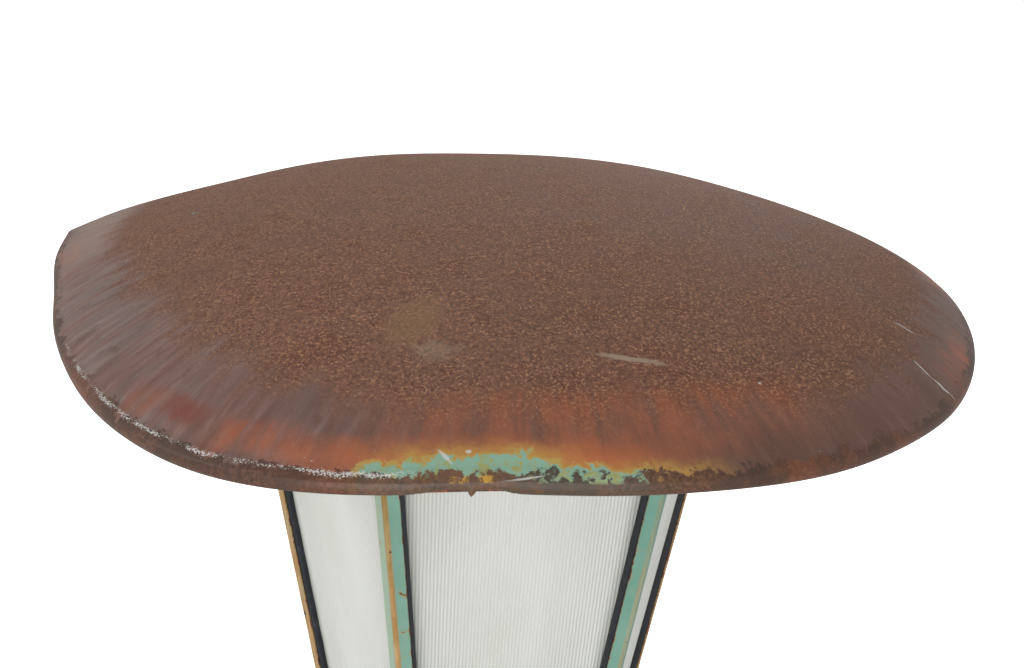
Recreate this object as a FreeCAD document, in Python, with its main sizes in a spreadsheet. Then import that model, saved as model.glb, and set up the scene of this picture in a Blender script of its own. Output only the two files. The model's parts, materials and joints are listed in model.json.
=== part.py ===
"""Hexagonal lantern head: a domed sheet-steel roof with a rounded hexagon plan, a tapered glazed body
with one hinged pane, and a welded socket that drops over a round post.

Millimetres. +Z is up, and the origin is the centre of the socket's mouth, at the bottom. Face 1 looks
along -Y, faces are counted anticlockwise seen from above, and face 4, at the back, holds the door.
"""

import FreeCAD
import Part
import Sketcher

import math
import os

from FreeCAD import Placement, Rotation, Vector

FACES = 6
DOOR_FACE = 3                    # counted from 0, so the face that looks along +Y
STEP_ANGLE = 360 / FACES
COS30 = math.cos(math.radians(30))
TAN30 = math.tan(math.radians(30))

DIMENSIONS = {
    # Glazed body: a hexagonal frustum, wider at the top.
    "corner_radius_top": 256.5,        # axis to corner, at the top of the body
    "corner_radius_bottom": 153,     # axis to corner, at the bottom of the body
    "body_base": 140,                # height of the body's underside
    "body_height": 760,
    # Corner bars: two flanges in the faces and a web towards the axis.
    "flange_width": 14,
    "flange_thickness": 3,
    "corner_flat": 4,                # the bar's outer corner is a narrow flat
    "web_thickness": 4,
    "web_depth": 30,
    # Top and bottom rings: a band behind the flanges and a shelf turned in.
    "band_height": 30,
    "band_thickness": 3,
    "shelf_width": 28,
    # Glazing, in depths behind the outer face.
    "glass_depth": 14,
    "glass_thickness": 5,
    "gasket_lip": 4,                 # how far the gasket shows inside the flange
    "gasket_drop": 1.2,              # keeps the leaning gasket under the top band
    "glass_cover": 6,                # how far a pane runs behind the bands
    "web_clearance": 0.5,            # between a web and what lies beside it
    "bead_thickness": 3,
    "bead_width": 12,
    # Door, a frame that shuts against the outside of face 4.
    "door_gap": 0.5,                 # behind the door plate
    "door_plate_thickness": 3,
    "door_edge_inset": 5,            # from the face's side edge to the plate
    "door_plate_width": 19,
    "door_overlap": 8,               # of the plate over the bands
    "door_leg_clearance": 1.5,       # inside the bars' flanges
    "door_leg_thickness": 2.5,
    "door_leg_depth": 14,            # behind the outer face
    "door_fit": 0.3,                 # round what sits in the door
    "door_gasket_thickness": 5.5,
    # Hinges.
    "hinge_low": 120,                # along the hinge line, from the body's bottom
    "hinge_from_top": 125.27,        # along the hinge line, from the body's top
    "knuckle_radius": 4.5,
    "pin_radius": 2.5,
    "pin_clearance": 0.05,
    "leaf_length": 30,
    "leaf_width": 15,
    "leaf_thickness": 2.4,
    "bracket_length": 12,
    "lug_thickness": 2,
    "axis_inset": 4,                 # from the face's side edge to the hinge line
    "knuckle_gap": 0.3,
    "rivet_radius": 2,
    "rivet_head_radius": 3.4,
    # Turn button that shuts the door.
    "button_height": 11,             # pivot above the body's bottom, along the face
    "button_reach": 32,
    "button_tail": 14,
    "button_width": 14,
    "button_thickness": 3,
    "button_screw_radius": 3,
    # Roof.
    "roof_corner_radius": 441,
    "roof_side_radius": 424.5,
    "roof_corner_arc": 280,
    "rim_rise": 28,                  # from the body's top to the dome's edge
    "dome_rise": 82,
    "dome_power": 2.28,
    "dome_root": 1.27,
    "sheet_thickness": 2,
    "hem": 6,                        # the skirt turned down at the edge
    "wire_radius": 2.8,
    "wire_gap": 0.1,
    "rib_rise": 37,                  # from the body's top to the ribs' lower edge
    "rib_thickness": 4,
    "rib_reach": 405,
    "hub_radius": 40,
    "hub_wall": 4,
    "seat_ring_inside": 22,          # of the stud circle
    "seat_ring_outside": 26,
    "seat_ring_thickness": 5,
    "stud_radius": 5,
    "stud_inset": 20.13,             # from the body's side to the stud circle
    "hole_clearance": 0.25,          # round a bolt or stud in its hole
    "sleeve_radius": 9,
    "nut_across": 17,
    "nut_height": 8,
    "reflector_thickness": 1.5,
    # Base and post socket.
    "tray_thickness": 4,
    "socket_bore": 38.5,
    "socket_wall": 13.5,
    "socket_flange_margin": 14,      # outside the bolt circle
    "socket_flange_thickness": 10,
    "gusset_base": 62,
    "gusset_thickness": 8,
    "cable_hole_radius": 8.5,
    "base_bolt_radius": 4,
    "base_bolt_inset": 21.5,         # from the body's side to the bolt circle
    "set_screw_radius": 5,
    "set_screw_height": 30,
    "set_screw_tip_gap": 1,
    # Lamp.
    "stem_height": 170,
    "stem_radius": 11,
    "stem_foot_radius": 34,
    "stem_foot_thickness": 5,
    "foot_screw_radius": 2.5,
    "holder_radius": 30,
    "holder_height": 72,
    "cap_radius": 19.5,
    "bulb_radius": 58,
    "bulb_height": 165,
    "bulb_wall": 1.5,
    "terminal_length": 44,
    "terminal_width": 22,
    "terminal_height": 18,
    "grommet_bore": 5,
}

# Sizes that follow from the ones above, so that a piece keeps its place on what it fits.
FOLLOWING = {
    "hinge_high": "sqrt(body_height^2 + 0.75 * (corner_radius_top - corner_radius_bottom)^2)"
                  " - hinge_from_top",
    "rim_height": "body_base + body_height + rim_rise",
    "rib_base": "body_base + body_height + rib_rise",
    "stud_circle": "corner_radius_top * sqrt(3) / 2 - stud_inset",
    "seat_ring_inner": "corner_radius_top * sqrt(3) / 2 - stud_inset - seat_ring_inside",
    "seat_ring_outer": "corner_radius_top * sqrt(3) / 2 - stud_inset + seat_ring_outside",
    "base_bolt_circle": "corner_radius_bottom * sqrt(3) / 2 - base_bolt_inset",
    "socket_collar_radius": "socket_bore + socket_wall",
    "socket_flange_radius": "corner_radius_bottom * sqrt(3) / 2 - base_bolt_inset + socket_flange_margin",
}

doc = FreeCAD.newDocument("hexagonal_lantern")
sheet = doc.addObject("Spreadsheet::Sheet", "dims")
rows = list(DIMENSIONS.items()) + [(alias, "=" + formula) for alias, formula in FOLLOWING.items()]
for row, (alias, value) in enumerate(rows, start=1):
    sheet.set(f"A{row}", alias)
    sheet.set(f"B{row}", str(value))
    sheet.setAlias(f"B{row}", alias)
doc.recompute()


def size(alias):
    """A driving dimension, read back from the sheet."""
    return float(sheet.get(alias))


# The sheet's values by name, and what follows from them.
SLOPE = (size("corner_radius_top") - size("corner_radius_bottom")) / size("body_height")
FACE_TILT = math.degrees(math.atan(SLOPE * COS30))
SLANT = 1 / math.cos(math.radians(FACE_TILT))
FACE_LENGTH = size("body_height") * SLANT
EDGE_LEAN = math.degrees(math.atan(SLOPE / SLANT / 2))
BODY_TOP = size("body_base") + size("body_height")

# The same, as expressions on the sheet.
X_SLOPE = "((dims.corner_radius_top - dims.corner_radius_bottom) / dims.body_height)"
X_SLANT = f"sqrt(1 + 0.75 * {X_SLOPE} * {X_SLOPE})"
X_LENGTH = f"(dims.body_height * {X_SLANT})"
X_BAND = f"(dims.band_height * {X_SLANT})"               # a band's height, along a face
# Inset at which a piece clears the web, for a piece whose back lies at a given depth.
X_WEB_INSET = "((dims.web_thickness / 2 + dims.web_clearance + ({depth}) / 2) / (sqrt(3) / 2))"
X_GLASS_BACK = "(dims.glass_depth + dims.glass_thickness)"
X_BEAD_BACK = f"({X_GLASS_BACK} + dims.bead_thickness)"

sub_parts = []


def sub_part(thing, label, placement=None):
    """Names a finished sub-part, puts it in place and lists it for export."""
    thing.Label = label
    if placement is not None:
        thing.Placement = placement
    sub_parts.append(thing)
    return thing


def bind(thing, **expressions):
    """Binds properties of thing to expressions on the sheet."""
    for name, expression in expressions.items():
        thing.setExpression(name, expression)
    return thing


def half_side(y):
    """Expression for half the side of a face, at y along the face from its bottom edge."""
    return f"((dims.corner_radius_bottom + {X_SLOPE} * ({y}) / {X_SLANT}) / 2)"


def about_z(angle):
    return Placement(Vector(), Rotation(Vector(0, 0, 1), angle))


def face_frame(face):
    """A face's own frame: X along the face, Y up the face, Z outwards, origin at its bottom edge."""
    apothem = size("corner_radius_bottom") * COS30
    foot = Placement(Vector(0, -apothem, size("body_base")), Rotation(Vector(1, 0, 0), 90 + FACE_TILT))
    return about_z(STEP_ANGLE * face) * foot


def hinge_frame():
    """The hinge line's frame on the door face: Y along the line, X towards the door, Z outwards."""
    inset = size("corner_radius_bottom") / 2 - size("axis_inset")
    height = size("door_gap") + size("door_plate_thickness") + size("leaf_thickness") * 2
    start = Placement(Vector(-inset, 0, height), Rotation(Vector(0, 0, 1), EDGE_LEAN))
    return face_frame(DOOR_FACE) * start


def origin_plane(body, role):
    return next(f for f in body.Origin.OriginFeatures if f.Role == role)


def new_sketch(body, name, role="XY_Plane", offset=None):
    sketch = body.newObject("Sketcher::SketchObject", name)
    sketch.AttachmentSupport = [(origin_plane(body, role), "")]
    sketch.MapMode = "FlatFace"
    if offset is not None:
        sketch.AttachmentOffset = Placement(offset, Rotation())
    return sketch


def polygon(sketch, points):
    """A closed outline whose corners are bound to pairs of expressions."""
    values = [tuple(float(doc.dims.evalExpression(e)) for e in p) for p in points]
    first = sketch.GeometryCount
    count = len(points)
    for i, (x, y) in enumerate(values):
        x2, y2 = values[(i + 1) % count]
        sketch.addGeometry(Part.LineSegment(Vector(x, y, 0), Vector(x2, y2, 0)), False)
    for i in range(count):
        sketch.addConstraint(Sketcher.Constraint("Coincident", first + i, 2, first + (i + 1) % count, 1))
    for i, (x, y) in enumerate(values):
        for kind, value, expression in (("DistanceX", x, points[i][0]), ("DistanceY", y, points[i][1])):
            number = sketch.addConstraint(Sketcher.Constraint(kind, -1, 1, first + i, 1, value))
            sketch.setExpression(f"Constraints[{number}]", expression)


def pad(body, sketch, name, length, reverse=False, along=None):
    feature = body.newObject("PartDesign::Pad", name)
    feature.Profile = sketch
    feature.setExpression("Length", length)
    feature.Reversed = reverse
    if along is not None:
        feature.UseCustomVector = True
        feature.Direction = along
        feature.AlongSketchNormal = True
    return feature


def trapezoid(inset, low, high):
    """Corners of a trapezoid on a face: inset from its side edges, between two heights."""
    bottom, top = f"{half_side(low)} - ({inset})", f"{half_side(high)} - ({inset})"
    return [(f"-({bottom})", low), (bottom, low), (top, high), (f"-({top})", high)]


def face_plate(name, front, thickness, outlines):
    """A plate on a face, between the depths front and front + thickness, with one or two outlines."""
    body = doc.addObject("PartDesign::Body", name)
    sketch = new_sketch(body, f"{name}_outline")
    for outline in outlines:
        polygon(sketch, outline)
    sketch.setExpression("AttachmentOffset.Base.z", f"-({front})")
    pad(body, sketch, f"{name}_pad", thickness, reverse=True)
    return body


def corner_bar(number):
    """An arrow-shaped glazing bar, pushed out along the body's leaning corner."""
    body = doc.addObject("PartDesign::Body", f"corner_bar_{number}")
    lean = Vector(SLOPE, 0, 1)
    root3 = "(sqrt(3) / 2)"
    flat_x = "dims.corner_flat / 2 / sqrt(3)"
    flange = new_sketch(body, f"flange_outline_{number}")
    tip = (f"-dims.flange_width / 2 - dims.flange_thickness * {root3}",
           f"dims.flange_width * {root3} - dims.flange_thickness / 2")
    polygon(flange, [
        (f"-({flat_x})", "dims.corner_flat / 2"),
        ("-dims.flange_width / 2", f"dims.flange_width * {root3}"),
        tip,
        (f"-dims.flange_thickness / {root3}", "0"),
        (tip[0], f"-({tip[1]})"),
        ("-dims.flange_width / 2", f"-dims.flange_width * {root3}"),
        (f"-({flat_x})", "-dims.corner_flat / 2"),
    ])
    pad(body, flange, f"flange_pad_{number}", "dims.body_height", along=lean)
    web = new_sketch(body, f"web_outline_{number}")
    web.setExpression("AttachmentOffset.Base.z", "dims.band_height")
    web.setExpression("AttachmentOffset.Base.x", f"dims.band_height * {X_SLOPE}")
    half = "dims.web_thickness / 2"
    start = "-dims.flange_thickness"
    end = "-dims.web_depth"
    polygon(web, [(start, half), (end, half), (end, f"-({half})"), (start, f"-({half})")])
    pad(body, web, f"web_pad_{number}", "dims.body_height - 2 * dims.band_height", along=lean)
    foot = Placement(Vector(size("corner_radius_bottom"), 0, size("body_base")), Rotation())
    return sub_part(body, f"corner_bar_{number}", about_z(STEP_ANGLE * (number - 1) - 120) * foot)


def glazing(face):
    """A fixed pane with its rubber gasket in front and its steel bead behind."""
    number = face + 1
    cover, lip = "dims.glass_cover", "dims.gasket_lip"
    low, high = X_BAND, f"{X_LENGTH} - {X_BAND} - dims.gasket_drop"
    pane = face_plate(
        f"glass_pane_{number}", "dims.glass_depth", "dims.glass_thickness",
        [trapezoid(X_WEB_INSET.format(depth=X_GLASS_BACK), f"{low} - {cover}", f"{high} + {cover}")])
    gasket = face_plate(
        f"pane_gasket_{number}", "dims.flange_thickness", "dims.glass_depth - dims.flange_thickness",
        [trapezoid(X_WEB_INSET.format(depth="dims.glass_depth"), low, high),
         trapezoid(f"dims.flange_width + {lip}", f"{low} + {lip}", f"{high} - {lip}")])
    bead_inset, width = X_WEB_INSET.format(depth=X_BEAD_BACK), "dims.bead_width"
    bead = face_plate(
        f"glazing_bead_{number}", X_GLASS_BACK, "dims.bead_thickness",
        [trapezoid(bead_inset, low, high),
         trapezoid(f"{bead_inset} + {width}", f"{low} + {width}", f"{high} - {width}")])
    for body, label in ((pane, "glass_pane"), (gasket, "pane_gasket"), (bead, "glazing_bead")):
        sub_part(body, f"{label}_{number}", face_frame(face))


def hexagon(name, circumradius, height):
    """A hexagon about the axis with corners on the bars' lines."""
    thing = doc.addObject("Part::RegularPolygon", name)
    thing.Polygon = FACES
    bind(thing, Circumradius=circumradius)
    thing.setExpression("Placement.Base.z", height)
    return thing


def corner_radius_at(height):
    """Expression for the body's corner radius at a height above its bottom."""
    return f"(dims.corner_radius_bottom + {X_SLOPE} * ({height}))"


def hexagonal_block(name, inset, low, high):
    """A solid hexagonal frustum, inset from the faces, between two heights above the body's bottom."""
    sections = [
        hexagon(f"{name}_{end}", f"{corner_radius_at(height)} - ({inset}) / (sqrt(3) / 2)",
                f"dims.body_base + ({height})")
        for end, height in (("low", low), ("high", high))]
    block = doc.addObject("Part::Loft", name)
    block.Sections = sections
    block.Solid = True
    block.Ruled = True
    return block


def cut(name, base, tool):
    thing = doc.addObject("Part::Cut", name)
    thing.Base, thing.Tool = base, tool
    return thing


def fuse(name, things):
    thing = doc.addObject("Part::MultiFuse", name)
    thing.Shapes = things
    return thing


def group(name, things):
    """Separate solids kept together as one sub-part."""
    thing = doc.addObject("Part::Compound", name)
    thing.Links = things
    return thing


def headed(name, shanks, heads):
    """Screws, each made of a shank and its head."""
    return [fuse(f"{name}_{i + 1}", pair) for i, pair in enumerate(zip(shanks, heads))]


def cylinder(name, radius, height, placement=None):
    thing = bind(doc.addObject("Part::Cylinder", name), Radius=radius, Height=height)
    if placement is not None:
        thing.Placement = placement
    return thing


def ring_of(name, count, radius, low, height, circle, first_angle):
    """Upright cylinders spaced round the axis."""
    made = []
    for i in range(count):
        angle = first_angle + 360 / count * i
        place = about_z(angle) * Placement(Vector(circle, 0, low), Rotation())
        made.append(cylinder(f"{name}_{i + 1}", radius, height, place))
    return made


def ring_of_nuts(name, count, low, circle, first_angle, across="dims.nut_across", height="dims.nut_height"):
    """Hexagon nuts or bolt heads spaced round the axis."""
    made = []
    for i in range(count):
        nut = doc.addObject("Part::Prism", f"{name}_{i + 1}")
        nut.Polygon = 6
        bind(nut, Circumradius=f"{across} / sqrt(3)", Height=height)
        nut.Placement = about_z(first_angle + 360 / count * i) * Placement(Vector(circle, 0, low), Rotation())
        made.append(nut)
    return made


def body_ring(name, label, low, shelf_low, cutters):
    """A band behind the bars' flanges with a shelf turned in, and holes where its fasteners pass."""
    high = f"{low} + dims.band_height"
    outer = hexagonal_block(f"{name}_outer", "dims.flange_thickness", low, high)
    if shelf_low:
        core_low, core_high = f"{low} + dims.band_thickness", f"{high} + 1"
        eye_low, eye_high = f"{low} - 1", high
    else:
        core_low, core_high = f"{low} - 1", f"{high} - dims.band_thickness"
        eye_low, eye_high = low, f"{high} + 1"
    core = hexagonal_block(f"{name}_core", "dims.flange_thickness + dims.band_thickness", core_low, core_high)
    eye = hexagonal_block(f"{name}_eye", "dims.flange_thickness + dims.shelf_width", eye_low, eye_high)
    tool = fuse(f"{name}_tools", [core, eye] + cutters)
    return sub_part(cut(label, outer, tool), label)


# ---- Corner bars and fixed glazing ----

for bar in range(1, FACES + 1):
    corner_bar(bar)
for face_number in range(FACES):
    if face_number != DOOR_FACE:
        glazing(face_number)


# ---- Door on face 4 ----

def door_outline(inset, overlap):
    """A trapezoid on the door face; overlap is how far it runs past the opening at top and bottom."""
    low = f"{X_BAND} - ({overlap})"
    high = f"{X_LENGTH} - {X_BAND} + ({overlap})"
    return trapezoid(inset, low, high)


LEG_INSET = "(dims.flange_width + dims.door_leg_clearance)"
LEG_INNER = f"({LEG_INSET} + dims.door_leg_thickness)"
SEAT_INSET = f"({LEG_INNER} + dims.door_fit)"
SEAT_OVERLAP = f"(-({SEAT_INSET} - dims.flange_width))"
PLATE_INNER = "(dims.door_edge_inset + dims.door_plate_width)"
PLATE_INNER_OVERLAP = f"(-({PLATE_INNER} - dims.flange_width))"
LIP_INNER = f"({PLATE_INNER} + dims.gasket_lip)"
LIP_OVERLAP = f"(-({LIP_INNER} - dims.flange_width))"
BEAD_INNER = f"({SEAT_INSET} + dims.bead_width * 0.8)"
BEAD_OVERLAP = f"(-({BEAD_INNER} - dims.flange_width))"


def door_frame_body():
    """The door's flat plate with a leg turned in through the opening."""
    body = face_plate(
        "door_frame_body", "-dims.door_gap - dims.door_plate_thickness", "dims.door_plate_thickness",
        [door_outline("dims.door_edge_inset", "dims.door_overlap"),
         door_outline(PLATE_INNER, PLATE_INNER_OVERLAP)])
    leg = new_sketch(body, "door_leg_outline")
    polygon(leg, door_outline(LEG_INSET, "-dims.door_leg_clearance"))
    polygon(leg, door_outline(LEG_INNER, "-dims.door_leg_clearance - dims.door_leg_thickness"))
    leg.setExpression("AttachmentOffset.Base.z", "dims.door_gap + dims.door_plate_thickness / 2")
    depth = "dims.door_leg_depth + dims.door_gap + dims.door_plate_thickness / 2"
    pad(body, leg, "door_leg_pad", depth, reverse=True)
    body.Placement = face_frame(DOOR_FACE)
    return body


def on_hinge_line(along, x=0.0, z=0.0, turn=None):
    """A place in the hinge line's frame; turn stands a cylinder along the line or out of the face."""
    rotation = turn if turn is not None else Rotation()
    return hinge_frame() * Placement(Vector(x, along, z), rotation)


ALONG_LINE = Rotation(Vector(1, 0, 0), -90)
OUT_OF_FACE = Rotation()


def hinge_block(name, sizes, place):
    """A box in the hinge line's frame, with its sizes bound to the sheet."""
    box = bind(doc.addObject("Part::Box", name), Length=sizes[0], Width=sizes[1], Height=sizes[2])
    box.Placement = place
    return box


def hinge_leaf(name, along, shanks):
    """The moving leaf: a barrel and a flap, bored for the pin and the rivets."""
    low = along - size("leaf_length") / 2
    barrel = cylinder(f"{name}_barrel", "dims.knuckle_radius", "dims.leaf_length",
                      on_hinge_line(low, turn=ALONG_LINE))
    flap = hinge_block(f"{name}_flap", ("dims.leaf_width", "dims.leaf_length", "dims.leaf_thickness"),
                       on_hinge_line(low, 0, -2 * size("leaf_thickness")))
    bore = cylinder(f"{name}_bore", "dims.pin_radius + dims.pin_clearance", "dims.leaf_length + 2",
                    on_hinge_line(low - 1, turn=ALONG_LINE))
    blank = fuse(f"{name}_leaf_blank", [barrel, flap])
    return cut(f"{name}_leaf_cut", blank, fuse(f"{name}_leaf_holes", [bore] + shanks))


def hinge_rivets(name, along):
    """Two rivets through the flap and the door plate; returns the rivets and their shanks."""
    rivets, shanks = [], []
    foot = -2 * size("leaf_thickness") - size("door_plate_thickness")
    for i, side in enumerate((-1, 1)):
        at, out = along + side * size("leaf_length") * 0.3, size("leaf_width") * 0.6
        shanks.append(cylinder(f"{name}_rivet_shank_{i}", "dims.rivet_radius",
                               "dims.door_plate_thickness + dims.leaf_thickness",
                               on_hinge_line(at, out, foot)))
        head = cylinder(f"{name}_rivet_head_{i}", "dims.rivet_head_radius", "dims.rivet_radius * 0.7",
                        on_hinge_line(at, out, -size("leaf_thickness")))
        rivets.append(fuse(f"{name}_rivet_{i}", [shanks[-1], head]))
    return rivets, shanks


def hinge_bracket(name, along):
    """The fixed half, with a knuckle and a lug at each end of the leaf, and the headed pin they hold."""
    lug_size = ("dims.lug_thickness", "dims.bracket_length",
                "dims.door_gap + dims.door_plate_thickness + dims.leaf_thickness * 2")
    lug_foot = -(size("door_gap") + size("door_plate_thickness") + size("leaf_thickness") * 2)
    reach = size("leaf_length") / 2 + size("knuckle_gap")
    ends = []
    for i, start in enumerate((along - reach - size("bracket_length"), along + reach)):
        knuckle = cylinder(f"{name}_end_{i}", "dims.knuckle_radius", "dims.bracket_length",
                           on_hinge_line(start, turn=ALONG_LINE))
        lug = hinge_block(f"{name}_lug_{i}", lug_size,
                          on_hinge_line(start, 0.5 - size("lug_thickness"), lug_foot))
        ends.append(fuse(f"{name}_bracket_end_{i}", [knuckle, lug]))
    reach += size("bracket_length")
    pin = cylinder(f"{name}_pin_shank", "dims.pin_radius",
                   "dims.leaf_length + 2 * (dims.knuckle_gap + dims.bracket_length) + 3",
                   on_hinge_line(along - reach - 1.5, turn=ALONG_LINE))
    cap = cylinder(f"{name}_pin_cap", "dims.knuckle_radius * 0.9", "dims.pin_radius",
                   on_hinge_line(along + reach + 0.2, turn=ALONG_LINE))
    bored = cut(f"{name}_bracket_cut", group(f"{name}_bracket_ends", ends), pin)
    return bored, fuse(f"{name}_pin", [pin, cap])


leaves, brackets, pins, rivets, rivet_shanks = [], [], [], [], []
for name, height in (("upper_hinge", size("hinge_high")), ("lower_hinge", size("hinge_low"))):
    own_rivets, own_shanks = hinge_rivets(name, height)
    leaves.append(hinge_leaf(name, height, own_shanks))
    bracket, pin = hinge_bracket(name, height)
    brackets.append(bracket)
    pins.append(pin)
    rivets += own_rivets
    rivet_shanks += own_shanks
sub_part(group("leaf_group", leaves), "hinge_leaves")
sub_part(group("bracket_group", brackets), "hinge_brackets")
sub_part(group("pin_group", pins), "hinge_pins")
sub_part(group("rivet_group", rivets), "hinge_rivets")
rivet_holes = fuse("rivet_holes", rivet_shanks)
sub_part(cut("door_frame_cut", door_frame_body(), rivet_holes), "door_frame")
sub_part(face_plate("door_gasket_body", "-dims.door_gap", "dims.door_gasket_thickness",
                    [door_outline(SEAT_INSET, SEAT_OVERLAP), door_outline(LIP_INNER, LIP_OVERLAP)]),
         "door_gasket", face_frame(DOOR_FACE))
sub_part(face_plate("door_glass_body", "dims.door_gasket_thickness - dims.door_gap", "dims.glass_thickness",
                    [door_outline(SEAT_INSET, SEAT_OVERLAP)]),
         "door_glass", face_frame(DOOR_FACE))
sub_part(face_plate("door_bead_body", "dims.door_gasket_thickness - dims.door_gap + dims.glass_thickness",
                    "dims.bead_thickness",
                    [door_outline(SEAT_INSET, SEAT_OVERLAP), door_outline(BEAD_INNER, BEAD_OVERLAP)]),
         "door_bead", face_frame(DOOR_FACE))


# ---- Turn button under the door ----

BAND_FACE = -size("flange_thickness") / SLANT            # the band's outer face, in the face's frame
BLADE_BACK = size("door_gap") + size("door_plate_thickness") + 0.4


def on_button(z, x=0.0, y=0.0):
    """A place over the turn button's pivot, in the door face's frame."""
    return face_frame(DOOR_FACE) * Placement(Vector(x, size("button_height") + y, z), Rotation())


X_BLADE_BACK = "(dims.door_gap + dims.door_plate_thickness + 0.4)"
X_BAND_FACE = f"(dims.flange_thickness / {X_SLANT})"
head_low = BLADE_BACK + size("button_thickness") + 0.1
shank_low = BAND_FACE - size("band_thickness") - size("nut_height") * 0.6
button_shank = cylinder(
    "button_shank", "dims.button_screw_radius",
    f"{X_BLADE_BACK} + dims.button_thickness + 0.1"
    f" + {X_BAND_FACE} + dims.band_thickness + dims.nut_height * 0.6",
    on_button(shank_low))
button_head = cylinder("button_head", "dims.button_screw_radius * 2", "dims.button_screw_radius",
                       on_button(head_low))
button_slot = bind(doc.addObject("Part::Box", "button_slot"), Length="dims.button_screw_radius * 5",
                   Width="dims.button_screw_radius * 0.4", Height="dims.button_screw_radius")
button_slot.Placement = on_button(head_low + size("button_screw_radius") * 0.6,
                                  -size("button_screw_radius") * 2.5, -size("button_screw_radius") * 0.2)
sub_part(cut("button_screw_cut", fuse("button_screw_blank", [button_shank, button_head]), button_slot),
         "button_screw")
button_spacer_blank = cylinder("button_spacer_blank", "dims.button_screw_radius * 2",
                               f"{X_BLADE_BACK} - 0.1 + {X_BAND_FACE}", on_button(BAND_FACE))
sub_part(cut("button_spacer_cut", button_spacer_blank, button_shank), "button_spacer")
button_nut_blank = doc.addObject("Part::Prism", "button_nut_blank")
button_nut_blank.Polygon = 6
bind(button_nut_blank, Circumradius="dims.button_screw_radius * 2", Height="dims.nut_height * 0.5")
button_nut_blank.Placement = on_button(BAND_FACE - size("band_thickness") / SLANT - size("nut_height") * 0.5)
sub_part(cut("button_nut_cut", button_nut_blank, button_shank), "button_nut")


def turn_button():
    """A flat blade with rounded ends, turned aside from the door."""
    body = doc.addObject("PartDesign::Body", "turn_button_body")
    sketch = new_sketch(body, "blade_outline")
    half = size("button_width") / 2
    reach, tail = size("button_reach") - half, size("button_tail") - half
    sketch.addGeometry(Part.LineSegment(Vector(-tail, -half, 0), Vector(reach, -half, 0)), False)
    sketch.addGeometry(Part.ArcOfCircle(Part.Circle(Vector(reach, 0, 0), Vector(0, 0, 1), half),
                                        -math.pi / 2, math.pi / 2), False)
    sketch.addGeometry(Part.LineSegment(Vector(reach, half, 0), Vector(-tail, half, 0)), False)
    sketch.addGeometry(Part.ArcOfCircle(Part.Circle(Vector(-tail, 0, 0), Vector(0, 0, 1), half),
                                        math.pi / 2, 3 * math.pi / 2), False)
    hole = size("button_screw_radius") + 0.1
    sketch.addGeometry(Part.Circle(Vector(0, 0, 0), Vector(0, 0, 1), hole), False)
    for one, two in ((0, 1), (2, 3)):
        sketch.addConstraint(Sketcher.Constraint("Tangent", one, 2, two, 1))
    sketch.addConstraint(Sketcher.Constraint("Tangent", 1, 2, 2, 1))
    sketch.addConstraint(Sketcher.Constraint("Tangent", 3, 2, 0, 1))
    sketch.addConstraint(Sketcher.Constraint("Horizontal", 0))
    sketch.addConstraint(Sketcher.Constraint("PointOnObject", 1, 3, -1))
    sketch.addConstraint(Sketcher.Constraint("Coincident", 4, 3, -1, 1))
    reach_at = sketch.addConstraint(Sketcher.Constraint("DistanceX", -1, 1, 1, 3, reach))
    tail_at = sketch.addConstraint(Sketcher.Constraint("DistanceX", 3, 3, -1, 1, tail))
    width_at = sketch.addConstraint(Sketcher.Constraint("Radius", 1, half))
    hole_at = sketch.addConstraint(Sketcher.Constraint("Radius", 4, hole))
    for number, expression in (
            (reach_at, "dims.button_reach - dims.button_width / 2"),
            (tail_at, "dims.button_tail - dims.button_width / 2"),
            (width_at, "dims.button_width / 2"),
            (hole_at, "dims.button_screw_radius + 0.1")):
        sketch.setExpression(f"Constraints[{number}]", expression)
    pad(body, sketch, "blade_pad", "dims.button_thickness")
    return body


sub_part(turn_button(), "turn_button", on_button(BLADE_BACK))


# ---- Body rings, base tray and reflector ----

FACE_ANGLE = 30                                  # azimuth of a face's middle, and every 60 degrees on
base_bolt_low = size("body_base") - size("tray_thickness") - size("socket_flange_thickness")
base_bolt_shanks = ring_of(
    "base_bolt_shank", FACES, "dims.base_bolt_radius", base_bolt_low,
    "dims.socket_flange_thickness + dims.tray_thickness + dims.band_thickness + dims.nut_height",
    size("base_bolt_circle"), FACE_ANGLE)
base_bolt_holes = ring_of("base_bolt_hole", FACES, "dims.base_bolt_radius + dims.hole_clearance",
                          base_bolt_low, "dims.body_base", size("base_bolt_circle"), FACE_ANGLE)
stud_low = BODY_TOP - size("band_thickness") - size("nut_height") - 2
roof_studs = ring_of(
    "roof_stud", FACES, "dims.stud_radius", stud_low,
    "dims.rib_base - dims.body_base - dims.body_height + dims.band_thickness + 2 * dims.nut_height + 4",
    size("stud_circle"), FACE_ANGLE)
stud_holes = ring_of("stud_hole", FACES, "dims.stud_radius + dims.hole_clearance",
                     stud_low, "dims.body_base", size("stud_circle"), FACE_ANGLE)

button_hole = cylinder("button_hole", "dims.button_screw_radius", "30", on_button(-20))
body_ring("bottom_ring_band", "bottom_ring", "0", True, base_bolt_holes + [button_hole])
body_ring("top_ring_band", "top_ring", "dims.body_height - dims.band_height", False, stud_holes)

reflector_blank = doc.addObject("Part::Prism", "reflector_blank")
reflector_blank.Polygon = FACES
bind(reflector_blank, Circumradius="dims.corner_radius_top - dims.flange_thickness / (sqrt(3) / 2)",
     Height="dims.reflector_thickness")
reflector_blank.Placement.Base.z = BODY_TOP
sub_part(cut("reflector_cut", reflector_blank, group("stud_hole_group", stud_holes)), "reflector_plate")

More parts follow.
